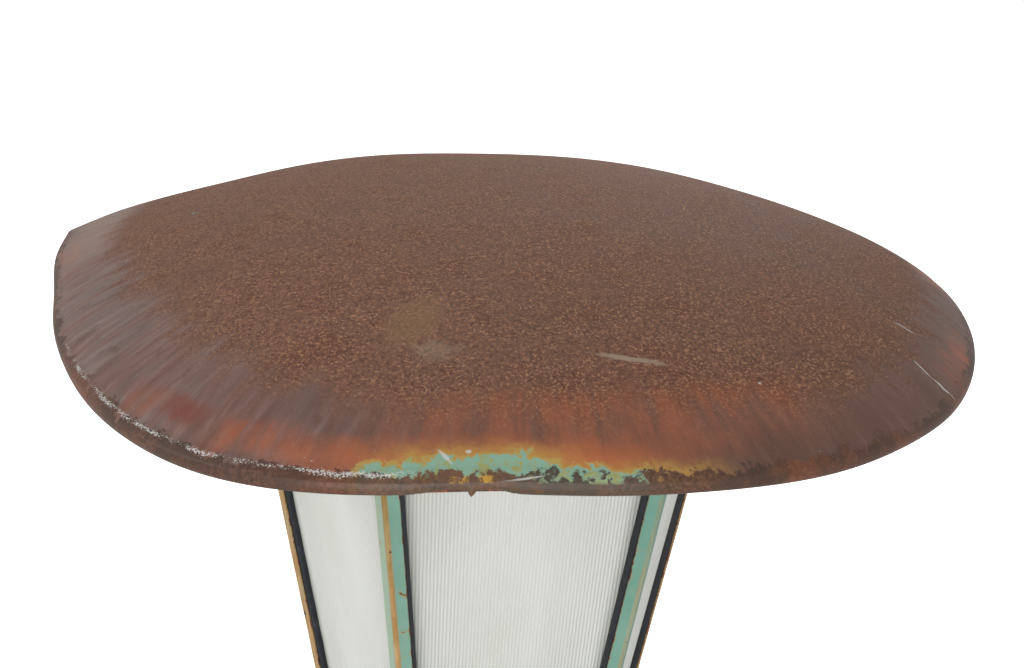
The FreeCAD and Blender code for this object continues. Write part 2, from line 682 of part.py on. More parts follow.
tray_blank = doc.addObject("Part::Prism", "tray_blank")
tray_blank.Polygon = FACES
bind(tray_blank, Circumradius="dims.corner_radius_bottom - dims.flange_thickness / (sqrt(3) / 2)",
     Height="dims.tray_thickness")
tray_blank.Placement.Base.z = size("body_base") - size("tray_thickness")
cable_hole = cylinder("cable_hole", "dims.cable_hole_radius", "300")
foot_screw_circle = (size("stem_radius") + size("stem_foot_radius")) / 2
foot_top = size("body_base") + size("stem_foot_thickness")
foot_screws = ring_of("foot_screw_shank", 3, "dims.foot_screw_radius",
                      size("body_base") - size("tray_thickness"),
                      "dims.tray_thickness + dims.stem_foot_thickness", foot_screw_circle, 90)
tray_tools = fuse("tray_tools", base_bolt_holes + foot_screws + [cable_hole])
sub_part(cut("tray_cut", tray_blank, tray_tools), "base_tray")
foot_heads = ring_of("foot_screw_head", 3, "dims.foot_screw_radius * 2", foot_top,
                     "dims.foot_screw_radius * 1.2", foot_screw_circle, 90)
sub_part(group("foot_screw_group", headed("foot_screw", foot_screws, foot_heads)), "stem_foot_screws")

base_bolt_heads = ring_of_nuts("base_bolt_head", FACES, base_bolt_low - size("base_bolt_radius") * 1.3,
                               size("base_bolt_circle"), FACE_ANGLE, "dims.base_bolt_radius * 3.2",
                               "dims.base_bolt_radius * 1.3")
sub_part(group("base_bolt_group", headed("base_bolt", base_bolt_shanks, base_bolt_heads)), "base_bolts")
base_nut_blanks = ring_of_nuts("base_nut", FACES, size("body_base") + size("band_thickness"),
                               size("base_bolt_circle"), FACE_ANGLE, "dims.base_bolt_radius * 3.2",
                               "dims.base_bolt_radius * 1.6")
base_nut_group = group("base_nut_group", base_nut_blanks)
sub_part(cut("base_nut_cut", base_nut_group, group("base_thread_group", base_bolt_shanks)), "base_nuts")


# ---- Post socket and its set screws ----

SEAT_TOP = "dims.body_base - dims.tray_thickness"
SEAT = f"({SEAT_TOP} - dims.socket_flange_thickness)"


def turned_profile(body, name, points):
    """A solid of revolution about Z whose outline's corners are bound to pairs of expressions."""
    sketch = new_sketch(body, f"{name}_profile", "XZ_Plane")
    polygon(sketch, points)
    turned = body.newObject("PartDesign::Revolution", f"{name}_turned")
    turned.Profile = sketch
    turned.ReferenceAxis = (sketch, ["V_Axis"])
    turned.Angle = 360
    return turned


def post_socket():
    """The collar, bored through for the post."""
    body = doc.addObject("PartDesign::Body", "post_socket_body")
    turned_profile(body, "socket", [
        ("dims.socket_bore", "0"), ("dims.socket_collar_radius", "0"),
        ("dims.socket_collar_radius", SEAT), ("dims.socket_bore", SEAT)])
    return body


def socket_plate():
    """The round plate that closes the collar and carries the base tray."""
    body = doc.addObject("PartDesign::Body", "socket_plate_body")
    turned_profile(body, "plate", [
        ("dims.cable_hole_radius", SEAT), ("dims.socket_flange_radius", SEAT),
        ("dims.socket_flange_radius", SEAT_TOP), ("dims.cable_hole_radius", SEAT_TOP)])
    return body


def socket_gusset(number):
    """A triangular plate between the collar and the plate above it."""
    body = doc.addObject("PartDesign::Body", f"gusset_body_{number}")
    sketch = new_sketch(body, f"gusset_outline_{number}", "XZ_Plane")
    collar = "dims.socket_collar_radius"
    polygon(sketch, [(collar, "dims.gusset_base"), ("dims.socket_flange_radius - 6", SEAT), (collar, SEAT)])
    pad(body, sketch, f"gusset_pad_{number}", "dims.gusset_thickness").Midplane = True
    body.Placement = about_z(STEP_ANGLE * number)
    return body


def radial(angle, radius, height):
    """A place at a radius and height whose Z points away from the axis."""
    return about_z(angle) * Placement(Vector(radius, 0, height), Rotation(Vector(0, 1, 0), 90))


set_screws, set_shanks = [], []
for i in range(3):
    angle = 90 + 120 * i
    tip = size("socket_bore") + size("set_screw_tip_gap")
    shank = cylinder(f"set_screw_shank_{i}", "dims.set_screw_radius",
                     "dims.socket_collar_radius - dims.socket_bore",
                     radial(angle, tip, size("set_screw_height")))
    head = doc.addObject("Part::Prism", f"set_screw_head_{i}")
    head.Polygon = 4
    bind(head, Circumradius="dims.set_screw_radius * 1.7", Height="dims.set_screw_radius * 1.6")
    head_start = tip + size("socket_collar_radius") - size("socket_bore")
    head.Placement = radial(angle, head_start, size("set_screw_height")) * about_z(45)
    set_shanks.append(cylinder(f"set_screw_hole_{i}", "dims.set_screw_radius", "30",
                               radial(angle, size("socket_bore") - 8, size("set_screw_height"))))
    set_screws.append(fuse(f"set_screw_{i}", [shank, head]))
sub_part(group("set_screw_group", set_screws), "set_screws")
sub_part(cut("post_socket_cut", post_socket(), fuse("set_screw_holes", set_shanks)), "post_socket")
sub_part(cut("socket_plate_cut", socket_plate(), fuse("plate_holes", base_bolt_holes)), "socket_plate")
sub_part(group("gusset_group", [socket_gusset(i) for i in range(FACES)]), "socket_gussets")


# ---- Lamp ----

stem_foot = cylinder("stem_foot", "dims.stem_foot_radius", "dims.stem_foot_thickness")
stem_tube = cylinder("stem_tube", "dims.stem_radius", "dims.stem_height")
for piece in (stem_foot, stem_tube):
    piece.Placement.Base.z = size("body_base")
stem_bore = cylinder("stem_bore", "dims.cable_hole_radius", "400")
stem_blank = fuse("stem_blank", [stem_foot, stem_tube])
sub_part(cut("stem_cut", stem_blank, fuse("stem_tools", [stem_bore] + foot_screws)), "lamp_stem")

holder_low = size("body_base") + size("stem_height")
holder_body = cylinder("holder_body", "dims.holder_radius", "dims.holder_height")
holder_well = cylinder("holder_well", "dims.cap_radius + 1", "dims.holder_height")
holder_foot = cylinder("holder_foot", "dims.holder_radius * 0.62", "dims.holder_height * 0.2")
holder_body.Placement.Base.z = holder_low + size("holder_height") * 0.2
holder_well.Placement.Base.z = holder_low + size("holder_height") * 0.45
holder_foot.Placement.Base.z = holder_low
holder_wire_hole = cylinder("holder_wire_hole", "dims.cable_hole_radius * 0.5", "400")
sub_part(cut("holder_cut", fuse("holder_blank", [holder_foot, holder_body]),
             fuse("holder_tools", [holder_well, holder_wire_hole])), "lamp_holder")

lamp_cap = cylinder("lamp_cap_body", "dims.cap_radius", "dims.holder_height * 0.8")
lamp_cap.Placement.Base.z = holder_low + size("holder_height") * 0.45
sub_part(lamp_cap, "bulb_cap")


def bulb():
    """The lamp's glass envelope: a thin neck that swells into a globe, open below."""
    low = holder_low + size("holder_height") * 1.25
    centre = low + size("bulb_height") - size("bulb_radius")
    profiles = []
    for inset in (0, size("bulb_wall")):
        neck, globe = size("cap_radius") * 0.95 - inset, size("bulb_radius") - inset
        meet = math.acos(neck / globe)
        shoulder = Vector(neck, 0, centre - globe * math.sin(meet))
        middle = Vector(globe, 0, centre)
        crown = Vector(0, 0, centre + globe)
        profiles.append((Vector(neck, 0, low), shoulder, middle, crown))
    (foot, shoulder, middle, crown), (foot_in, shoulder_in, middle_in, crown_in) = profiles
    outline = Part.Wire([
        Part.makeLine(foot, shoulder), Part.Arc(shoulder, middle, crown).toShape(),
        Part.makeLine(crown, crown_in), Part.Arc(crown_in, middle_in, shoulder_in).toShape(),
        Part.makeLine(shoulder_in, foot_in), Part.makeLine(foot_in, foot)])
    shell = doc.addObject("Part::Feature", "bulb_shape")
    shell.Shape = Part.Face(outline).revolve(Vector(), Vector(0, 0, 1), 360)
    return shell


sub_part(bulb(), "lamp_bulb", Placement())

grommet_blank = cylinder("grommet_blank", "dims.cable_hole_radius",
                         "dims.socket_flange_thickness + dims.tray_thickness")
grommet_blank.Placement.Base.z = base_bolt_low
grommet_bore = cylinder("grommet_bore_tool", "dims.grommet_bore", "400")
sub_part(cut("grommet_cut", grommet_blank, grommet_bore), "cable_grommet")

terminal_low = size("body_base")
terminal_box = bind(doc.addObject("Part::Box", "terminal_box"), Length="dims.terminal_length",
                    Width="dims.terminal_width", Height="dims.terminal_height")
terminal_at = Vector(-size("terminal_length") / 2,
                     -size("stem_foot_radius") - size("terminal_width") - 12, terminal_low)
terminal_box.Placement.Base = terminal_at
ways = []
for i in range(3):
    way = cylinder(f"terminal_way_{i}", "dims.terminal_height * 0.17", "dims.terminal_width + 2")
    across = terminal_at.x + size("terminal_length") * (i + 0.5) / 3
    way_height = terminal_low + size("terminal_height") * 0.45
    way.Placement = Placement(Vector(across, terminal_at.y - 1, way_height), Rotation(Vector(1, 0, 0), -90))
    ways.append(way)
sub_part(cut("terminal_cut", terminal_box, fuse("terminal_ways", ways)), "terminal_block")


# ---- Roof ----

def roof_outline(offset, scale, height):
    """A rounded hexagon: six flat side arcs joined by six tighter corner arcs, tangent all round."""
    corner = size("roof_corner_radius") - offset
    side = size("roof_side_radius") - offset
    arc = size("roof_corner_arc") - offset
    centre = corner - arc
    reach = centre * COS30 - side
    side_arc = (arc ** 2 - reach ** 2 - centre ** 2 / 4) / (2 * (reach + arc))
    back = side_arc - side
    meet = math.degrees(math.atan2(centre / 2, centre * COS30 + back))

    def polar(radius, angle, origin):
        a = math.radians(angle)
        x, y = origin[0] + radius * math.cos(a), origin[1] + radius * math.sin(a)
        return Vector(x * scale, y * scale, height)

    edges = []
    for i in range(FACES):
        side_angle = 30 + 60 * i
        corner_angle = side_angle + 30
        a = math.radians(side_angle)
        side_origin = (-back * math.cos(a), -back * math.sin(a))
        b = math.radians(corner_angle)
        corner_origin = (centre * math.cos(b), centre * math.sin(b))
        start = polar(side_arc, side_angle - meet, side_origin)
        end = polar(side_arc, side_angle + meet, side_origin)
        edges.append(Part.Arc(start, polar(side_arc, side_angle, side_origin), end).toShape())
        turn_end = polar(arc, corner_angle + 30 - meet, corner_origin)
        edges.append(Part.Arc(end, polar(arc, corner_angle, corner_origin), turn_end).toShape())
    return Part.Wire(edges)


SECTIONS = 14
CROWN_SCALE = 0.06


def dome_solid(offset, drop):
    """The space under the dome, as a solid: offset in from its edge and dropped from its crown."""
    hem_low = size("rim_height") - size("hem")
    rise = size("dome_rise")
    wires = []
    for i in range(SECTIONS + 1):
        scale = 1 - (1 - CROWN_SCALE) * (1 - math.cos(math.pi / 2 * i / SECTIONS))
        lift = rise * (1 - scale ** size("dome_power")) ** (1 / size("dome_root"))
        wires.append(roof_outline(offset, scale, size("rim_height") + lift - drop))
    dome = Part.makeLoft(wires, True, False)
    edge = roof_outline(offset, 1, size("rim_height") - drop)
    skirt = Part.makeLoft([roof_outline(offset, 1, hem_low), edge], True, True)
    return skirt.fuse(dome).removeSplitter()


sheet_gauge = size("sheet_thickness")
outer_dome = dome_solid(0, 0)
cavity = dome_solid(sheet_gauge, sheet_gauge)
roof_skin = doc.addObject("Part::Feature", "roof_skin_shape")
roof_skin.Shape = outer_dome.cut(cavity)
sub_part(roof_skin, "roof_skin", Placement())

wire_height = size("rim_height") - size("hem") + size("wire_radius")
wire_path = roof_outline(sheet_gauge + size("wire_gap") + size("wire_radius"), 1, wire_height)
wire_start = wire_path.Edges[0].valueAt(wire_path.Edges[0].FirstParameter)
wire_along = wire_path.Edges[0].tangentAt(wire_path.Edges[0].FirstParameter)
wire_section = Part.Wire(Part.Circle(wire_start, wire_along, size("wire_radius")).toShape())
rim_wire = doc.addObject("Part::Feature", "rim_wire_shape")
rim_wire.Shape = wire_path.makePipeShell([wire_section], True, False)
sub_part(rim_wire, "rim_wire", Placement())

ribs = []
for i in range(FACES):
    plate = Part.makeBox(size("rib_reach") - size("hub_radius"), size("rib_thickness"), size("dome_rise"),
                         Vector(size("hub_radius"), -size("rib_thickness") / 2, size("rib_base")))
    plate.rotate(Vector(), Vector(0, 0, 1), STEP_ANGLE * i)
    ribs.append(plate.common(cavity).Solids[0])
roof_ribs = doc.addObject("Part::Feature", "roof_rib_shapes")
roof_ribs.Shape = Part.makeCompound(ribs)
sub_part(roof_ribs, "roof_ribs", Placement())

hub = Part.makeCylinder(size("hub_radius"), size("dome_rise") * 2, Vector(0, 0, size("rib_base")))
hub = hub.cut(Part.makeCylinder(size("hub_radius") - size("hub_wall"), size("dome_rise") * 2,
                                Vector(0, 0, size("rib_base"))))
for i in range(FACES):
    slot = Part.makeBox(size("hub_wall") + 1, size("rib_thickness"), size("dome_rise") * 2,
                        Vector(size("hub_radius"), -size("rib_thickness") / 2, size("rib_base")))
    slot.rotate(Vector(), Vector(0, 0, 1), STEP_ANGLE * i)
    hub = hub.cut(slot)
roof_hub = doc.addObject("Part::Feature", "roof_hub_shape")
roof_hub.Shape = hub.common(cavity)
sub_part(roof_hub, "roof_hub", Placement())

seat_low = size("rib_base") - size("seat_ring_thickness")
seat_blank = cylinder("seat_blank", "dims.seat_ring_outer", "dims.seat_ring_thickness")
seat_eye = cylinder("seat_eye", "dims.seat_ring_inner", "dims.seat_ring_thickness")
seat_blank.Placement.Base.z = seat_low
seat_eye.Placement.Base.z = seat_low
sub_part(cut("seat_ring_cut", seat_blank, fuse("seat_tools", [seat_eye] + stud_holes)), "roof_seat_ring")

sleeve_blanks = ring_of(
    "sleeve", FACES, "dims.sleeve_radius", BODY_TOP + size("reflector_thickness"),
    "dims.rib_base - dims.seat_ring_thickness - dims.body_base - dims.body_height - dims.reflector_thickness",
    size("stud_circle"), FACE_ANGLE)
sleeve_group = group("sleeve_group", sleeve_blanks)
sub_part(cut("sleeve_cut", sleeve_group, group("sleeve_hole_group", stud_holes)), "roof_sleeves")
upper_nuts = ring_of_nuts("roof_nut_top", FACES, size("rib_base"), size("stud_circle"), FACE_ANGLE)
lower_nuts = ring_of_nuts("roof_nut_low", FACES, BODY_TOP - size("band_thickness") - size("nut_height"),
                          size("stud_circle"), FACE_ANGLE)
roof_nut_group = group("roof_nut_group", upper_nuts + lower_nuts)
sub_part(cut("roof_nut_cut", roof_nut_group, group("stud_thread_group", roof_studs)), "roof_nuts")
sub_part(group("roof_stud_group", roof_studs), "roof_studs")


# ---- Check and write ----

doc.recompute()
for thing in doc.Objects:
    if "Invalid" in thing.State or "Error" in thing.State:
        raise RuntimeError(f"{thing.Name} ({thing.Label}) did not build: {thing.State}")
os.makedirs("parts", exist_ok=True)
for piece in sub_parts:
    shape = piece.Shape
    if shape.isNull() or not shape.isValid() or not shape.Solids:
        raise RuntimeError(f"{piece.Label} has no valid solid")
    shape.exportStep(f"parts/{piece.Label}.step")
    print(f"{piece.Label}: {len(shape.Solids)} solids, {sum(s.Volume for s in shape.Solids) / 1000:.1f} cm3")
print(len(sub_parts), "sub-parts")
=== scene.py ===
# %% [markdown]
# # A rusted hexagonal lantern head
# The object is the top of a large old lantern: a broad, low steel roof with a rounded hexagon plan, and a
# glazed body that narrows downwards. The steelwork comes from the CAD model as a fixed frame. This notebook
# gives the worn pieces their real surfaces, and every piece a worked finish.
#
# The frame is loaded first, with the record that comes with it.

# %% Load the frame
import json
import math

import bpy
import numpy as np
from mathutils import Matrix, Vector


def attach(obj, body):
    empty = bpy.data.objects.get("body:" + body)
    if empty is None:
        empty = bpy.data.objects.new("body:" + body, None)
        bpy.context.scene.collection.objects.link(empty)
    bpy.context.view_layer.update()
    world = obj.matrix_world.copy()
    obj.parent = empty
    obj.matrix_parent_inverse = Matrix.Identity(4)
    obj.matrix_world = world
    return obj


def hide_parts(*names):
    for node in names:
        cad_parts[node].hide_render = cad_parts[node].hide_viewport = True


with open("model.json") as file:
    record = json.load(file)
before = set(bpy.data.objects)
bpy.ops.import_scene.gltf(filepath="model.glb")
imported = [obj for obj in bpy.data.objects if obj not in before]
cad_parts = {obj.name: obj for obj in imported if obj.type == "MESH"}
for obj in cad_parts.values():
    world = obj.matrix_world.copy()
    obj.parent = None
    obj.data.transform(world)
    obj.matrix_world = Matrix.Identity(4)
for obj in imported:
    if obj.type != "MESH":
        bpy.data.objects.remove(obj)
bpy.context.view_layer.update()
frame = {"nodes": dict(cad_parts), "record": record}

print("frame loaded:", len(frame["nodes"]), "nodes")

# %% [markdown]
# ## Sizes
# The body is a hexagonal frustum. Its faces lean outwards, so each face has a frame of its own: X along the
# face, Y up the face and Z out of it. Everything on a face is worked out there and then turned into place.

# %% The body's sizes, in metres
BODY_LOW, BODY_HIGH = 0.140, 0.900
CORNER_LOW, CORNER_HIGH = 0.153, 0.2565          # from the axis to a corner
BAND = 0.030
COS30 = math.cos(math.radians(30))
SLOPE = (CORNER_HIGH - CORNER_LOW) / (BODY_HIGH - BODY_LOW)
TILT = math.atan(SLOPE * COS30)
FACE_LENGTH = (BODY_HIGH - BODY_LOW) / math.cos(TILT)
BAND_ALONG = BAND / math.cos(TILT)


def half_side(y):
    """Half of a face's width: a straight line from the bottom to the top of the face."""
    return (CORNER_LOW + SLOPE * np.cos(TILT) * y) / 2


def on_face(face, points):
    """Face coordinates to the row frame: tilt about X, move out to the face, turn 60 degrees per face."""
    place = (Matrix.Rotation(math.radians(60) * face, 4, "Z")
             @ Matrix.Translation((0, -CORNER_LOW * COS30, BODY_LOW))
             @ Matrix.Rotation(math.pi / 2 + TILT, 4, "X"))
    m = np.array(place)
    return points @ m[:3, :3].T + m[:3, 3]


print("faces lean out by", round(math.degrees(TILT), 2), "degrees and are", round(FACE_LENGTH, 4), "m long")


# %% [markdown]
# ## Two mesh helpers
# Nearly every piece here is a grid of points: rows that run one way and columns that run the other. A closed
# bar or ring is the same grid with its last row joined to its first. Working the points out as one array
# keeps the shape's formula in sight, and the mesh gets them in a single call.

# %% Grids into meshes
def grid_quads(rows, columns, close_rows=False, close_columns=False):
    """Four corners per cell, in the order that faces outwards when rows x columns does."""
    i = np.arange(rows if close_rows else rows - 1)[:, None]
    j = np.arange(columns if close_columns else columns - 1)[None, :]
    i2, j2 = (i + 1) % rows, (j + 1) % columns
    corners = [i * columns + j, i * columns + j2, i2 * columns + j2, i2 * columns + j]
    return np.stack(corners, -1).reshape(-1, 4)


def put_mesh(name, points, quads, body="lantern", triangles=None, uv=None, flip=False, sharp=40):
    """Makes one object from arrays of points, four-sided faces and, if given, three-sided ones."""
    faces = [list(q) for q in (quads[:, ::-1] if flip else quads)]
    if triangles is not None:
        faces += [list(t) for t in (triangles[:, ::-1] if flip else triangles)]
    mesh = bpy.data.meshes.new(name)
    mesh.from_pydata(points.reshape(-1, 3).tolist(), [], faces)
    if uv is not None:
        layer = mesh.uv_layers.new(name="sheet")
        corner_vertex = np.empty(len(mesh.loops), np.int32)
        mesh.loops.foreach_get("vertex_index", corner_vertex)
        layer.uv.foreach_set("vector", uv.reshape(-1, 2)[corner_vertex].astype(np.float32).ravel())
    mesh.shade_smooth()
    mesh.set_sharp_from_angle(angle=math.radians(sharp))
    mesh.update()
    thing = bpy.data.objects.new(name, mesh)
    bpy.context.scene.collection.objects.link(thing)
    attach(thing, body)
    return thing


def signed_volume(thing):
    """Six times the volume is the sum, over triangles, of a . (b x c); it is negative if inside out."""
    mesh = thing.data
    mesh.calc_loop_triangles()
    points = np.empty(len(mesh.vertices) * 3)
    mesh.vertices.foreach_get("co", points)
    corners = np.empty(len(mesh.loop_triangles) * 3, np.int32)
    mesh.loop_triangles.foreach_get("vertices", corners)
    a, b, c = points.reshape(-1, 3)[corners.reshape(-1, 3)].transpose(1, 0, 2)
    return float(np.einsum("ij,ij->", a, np.cross(b, c)) / 6)


def face_outwards(thing):
    """Turns every face round if the closed mesh encloses a negative volume."""
    if signed_volume(thing) < 0:
        thing.data.flip_normals()
    return thing


print("a 3 x 4 grid:", len(grid_quads(3, 4)), "cells; closed both ways:", len(grid_quads(3, 4, True, True)))


# %% [markdown]
# ## Colours and node helpers
# Blender's shaders work in linear light, while we judge colours on a screen, so a colour is written as its
# three screen values and converted once. A small helper adds a node, sets its inputs and returns it.

# %% Colour and node helpers
def screen(red, green, blue):
    """Screen values from 0 to 255 as linear light, with full alpha."""
    values = [v / 255 for v in (red, green, blue)]
    linear = [v / 12.92 if v <= 0.04045 else ((v + 0.055) / 1.055) ** 2.4 for v in values]
    return (*linear, 1.0)


def add(tree, kind, settings=None, **inputs):
    """Adds a node, sets its properties, and sets or links its inputs by name or by number."""
    node = tree.nodes.new(kind)
    for key, value in (settings or {}).items():
        setattr(node, key, value)
    for key, value in inputs.items():
        by_number = key[0] == "i" and key[1:].isdigit()
        socket = node.inputs[int(key[1:]) if by_number else key.replace("_", " ")]
        if isinstance(value, bpy.types.NodeSocket):
            tree.links.new(value, socket)
        else:
            socket.default_value = value
    return node


def math_node(tree, operation, a, b=0.0):
    """One sum of a and b."""
    return add(tree, "ShaderNodeMath", {"operation": operation}, i0=a, i1=b).outputs[0]


def product(tree, a, b):
    """a times b."""
    return math_node(tree, "MULTIPLY", a, b)


def between(tree, value, low, high, out_low=0.0, out_high=1.0):
    """A smooth ramp of value from low to high."""
    node = add(tree, "ShaderNodeMapRange", {"interpolation_type": "SMOOTHSTEP"}, i0=value, i1=low, i2=high,
               i3=out_low, i4=out_high)
    return node.outputs[0]


def mix(tree, factor, a, b):
    """Colour a, covered by colour b where the factor is 1."""
    return add(tree, "ShaderNodeMix", {"data_type": "RGBA"}, i0=factor, i6=a, i7=b).outputs[2]


def noise(tree, vector, scale, detail=4.0, rough=0.55, distortion=0.0):
    """Cloudy noise with scale waves per metre, each layer of detail half as long as the last."""
    return add(tree, "ShaderNodeTexNoise", Vector=vector, Scale=scale, Detail=detail, Roughness=rough,
               Distortion=distortion).outputs["Fac"]


def stretched(tree, vector, scale):
    """A place multiplied by a scale per axis, so that less than 1 draws a noise out that way."""
    return add(tree, "ShaderNodeMapping", Vector=vector, Scale=scale).outputs[0]


def new_material(name):
    """A material with one shader, and nothing linked to it yet."""
    material = bpy.data.materials.new(name)
    material.use_nodes = True
    tree = material.node_tree
    tree.nodes.clear()
    out = tree.nodes.new("ShaderNodeOutputMaterial")
    shader = tree.nodes.new("ShaderNodeBsdfPrincipled")
    tree.links.new(shader.outputs[0], out.inputs[0])
    return material, tree, shader


def bump(tree, shader, height, strength, distance):
    """Tilts the shader's normal as if the surface stood up by height times the distance, in metres."""
    node = add(tree, "ShaderNodeBump", Height=height, Strength=strength, Distance=distance)
    tree.links.new(node.outputs[0], shader.inputs["Normal"])


def new_group(name, inputs, outputs):
    """An empty node group; inputs and outputs are (name, socket type, default) rows."""
    tree = bpy.data.node_groups.new(name, "ShaderNodeTree")
    for label, kind, default in inputs:
        socket = tree.interface.new_socket(label, in_out="INPUT", socket_type=f"NodeSocket{kind}")
        if default is not None:
            socket.default_value = default
    for label, kind in outputs:
        tree.interface.new_socket(label, in_out="OUTPUT", socket_type=f"NodeSocket{kind}")
    return tree, tree.nodes.new("NodeGroupInput"), tree.nodes.new("NodeGroupOutput")


def use(tree, group, **inputs):
    """Places a node group in a material."""
    return add(tree, "ShaderNodeGroup", {"node_tree": group}, **inputs)


print("mid grey on a screen is", round(screen(128, 128, 128)[0], 3), "in linear light")


# %% [markdown]
# ## Shared effects
# Rust is never one brown. It is dark where it is old and dense, orange where it is fresh, and it stands up
# in grains. The same rust comes through wherever paint has gone, so it is a node group that each steel
# finish places with its own values.

# %% The rust group
rust_group, group_in, group_out = new_group(
    "rust", [("Vector", "Vector", None), ("Fresh", "Float", 0.3)],
    [("Color", "Color"), ("Roughness", "Float"), ("Height", "Float")])
patches = noise(rust_group, group_in.outputs["Vector"], 14.0, 6.0, 0.6)
grains = noise(rust_group, group_in.outputs["Vector"], 420.0, 2.0, 0.6)
fresh_share = math_node(rust_group, "MULTIPLY", between(rust_group, patches, 0.42, 0.66),
                        group_in.outputs["Fresh"])
old_rust = mix(rust_group, between(rust_group, grains, 0.35, 0.7), screen(74, 50, 42), screen(122, 84, 66))
rust_colour = mix(rust_group, fresh_share, old_rust, screen(176, 98, 52))
rust_rough = between(rust_group, grains, 0.3, 0.7, 0.72, 0.95)
rust_height = math_node(rust_group, "ADD", grains, patches)
for label, socket in (("Color", rust_colour), ("Roughness", rust_rough), ("Height", rust_height)):
    rust_group.links.new(socket, group_out.inputs[label])
print("rust group:", len(rust_group.nodes), "nodes")

# %% [markdown]
# ## Chipped paint
# Paint lets go in patches, and first at an edge, where it is thinnest. So a patchy noise is pushed up near an
# edge and cut at a threshold: what lies over it is bare, and a stained halo lies just under it. One group
# serves every painted and plated piece, and each asks for its own scale and amount.

# %% The chipped paint group
chip_group, group_in, group_out = new_group(
    "chips",
    [("Vector", "Vector", None), ("Scale", "Float", 60.0), ("Amount", "Float", 0.3), ("Edge", "Float", 0.0)],
    [("Bare", "Float"), ("Halo", "Float")])
blotches = noise(chip_group, group_in.outputs["Vector"], group_in.outputs["Scale"], 5.0, 0.62, 0.4)
push = math_node(chip_group, "ADD", blotches, product(chip_group, group_in.outputs["Edge"], 0.15))
threshold = math_node(chip_group, "SUBTRACT", 0.86, product(chip_group, group_in.outputs["Amount"], 0.45))
over = math_node(chip_group, "SUBTRACT", push, threshold)
chip_group.links.new(between(chip_group, over, 0.0, 0.012), group_out.inputs["Bare"])
chip_group.links.new(between(chip_group, over, -0.07, 0.0), group_out.inputs["Halo"])
print("chip group:", len(chip_group.nodes), "nodes")

# %% [markdown]
# ## The roof
# The real roof is one pressed sheet: a low dome whose plan is a hexagon with very round corners, with its
# edge turned down over a wire. It has been knocked about, so one side is flattened, one corner is creased,
# the front is pushed in, and a piece of the lip is torn up. It could be modelled by sculpting, but a height
# and a radius that are each a function of direction are easier to correct, and they close all the way round.

# %% The roof's plan and profile
RIM_Z, HEM, RISE, SHEET = 0.928, 0.0095, 0.082, 0.002
MEAN_RADIUS, RIPPLE = 0.43275, 0.00825
DOME_POWER, DOME_ROOT = 2.28, 1.27
LEAN = 0.018                                     # how much the dome leans to the right
# Each knock is a direction and a width in degrees, and how far it moves the rim out or in, in metres.
KNOCKS = [(-121, 11, 0.0070), (-98, 8, -0.0055), (-83, 8, 0.0010), (-59, 11, -0.0040), (-31, 14, 0.0065),
          (-171, 17, -0.0315), (-150, 13, -0.0055), (156, 13, 0.0190), (8, 14, -0.0200), (45, 16, 0.0145)]
CREASE = (166, 5, 0.0095)


def degrees_from(angle, centre):
    """The difference of two directions, from -180 to 180."""
    return (angle - centre + 180) % 360 - 180


def bell(angle, centre, width, height):
    """A bell curve over direction: height at the centre, fading over the width."""
    return height * np.exp(-(degrees_from(angle, centre) / width) ** 2)


def plan_radius(angle):
    """Mean radius plus a cosine with six waves, which has corners at multiples of 60 degrees."""
    return MEAN_RADIUS + RIPPLE * np.cos(np.radians(6 * angle)) - 0.0002


def knock(angle):
    """All the knocks together; the crease is the same curve with a sharp top."""
    centre, width, height = CREASE
    crease = height * np.exp(-np.abs(degrees_from(angle, centre)) / width)
    return sum(bell(angle, *row) for row in KNOCKS) + crease


def sheet_radius(share, angle):
    """The knocks die away towards the crown with the fourth power of the share."""
    return share * plan_radius(angle) + share ** 4 * knock(angle)


def sheet_height(share, x, y):
    """Rise x (1 - share^power)^(1/root), a lean, and slow waves in the beaten sheet that fade at the rim."""
    dome = RISE * np.clip(1 - share ** DOME_POWER, 0, 1) ** (1 / DOME_ROOT)
    waves = (np.sin(9 * x + 1.3) * np.sin(7 * y - 0.4) + 0.6 * np.sin(21 * x - 13 * y)
             + 0.4 * np.sin(17 * y + 23 * x + 2.0))
    return RIM_Z + dome + (0.0004 * (waves - 2.0) + LEAN * x * share ** 2) * (1 - share ** 8)


def lip_lift(angle):
    """How far the lip is bent up: a ragged tear at the front, and a slow waver all round."""
    tear = bell(angle, -101.6, 2.2, 0.0030) + bell(angle, -98.2, 1.4, 0.0024)
    tear -= bell(angle, -100.0, 0.28, 0.0036)
    rag = np.sin(angle * 9.1) * np.sin(angle * 23.7 + 1) * np.exp(-(degrees_from(angle, -100.5) / 3.4) ** 2)
    waver = np.sin(np.radians(angle * 5 + 40)) * np.sin(np.radians(angle * 11))
    return tear + 0.0008 * rag + 0.0005 * waver + 0.0008


# Columns are closer together at the front, where the lip is torn.
angles = np.unique(np.concatenate([np.linspace(-180, 180, 440, endpoint=False), np.linspace(-112, -86, 170)]))
print("roof columns:", len(angles), "rim from", round(float(sheet_radius(1, angles).min()), 4),
      "to", round(float(sheet_radius(1, angles).max()), 4))

# %% [markdown]
# ## The roof's surface
# Real sheet is thin but has two sides, and its turned edge is seen from below. So the surface is one profile
# that runs from the crown out to the rim, down the hem, round its lip and back under the dome, repeated for
# every direction. Solidifying a single skin would be quicker, but it would thicken the torn lip unevenly.


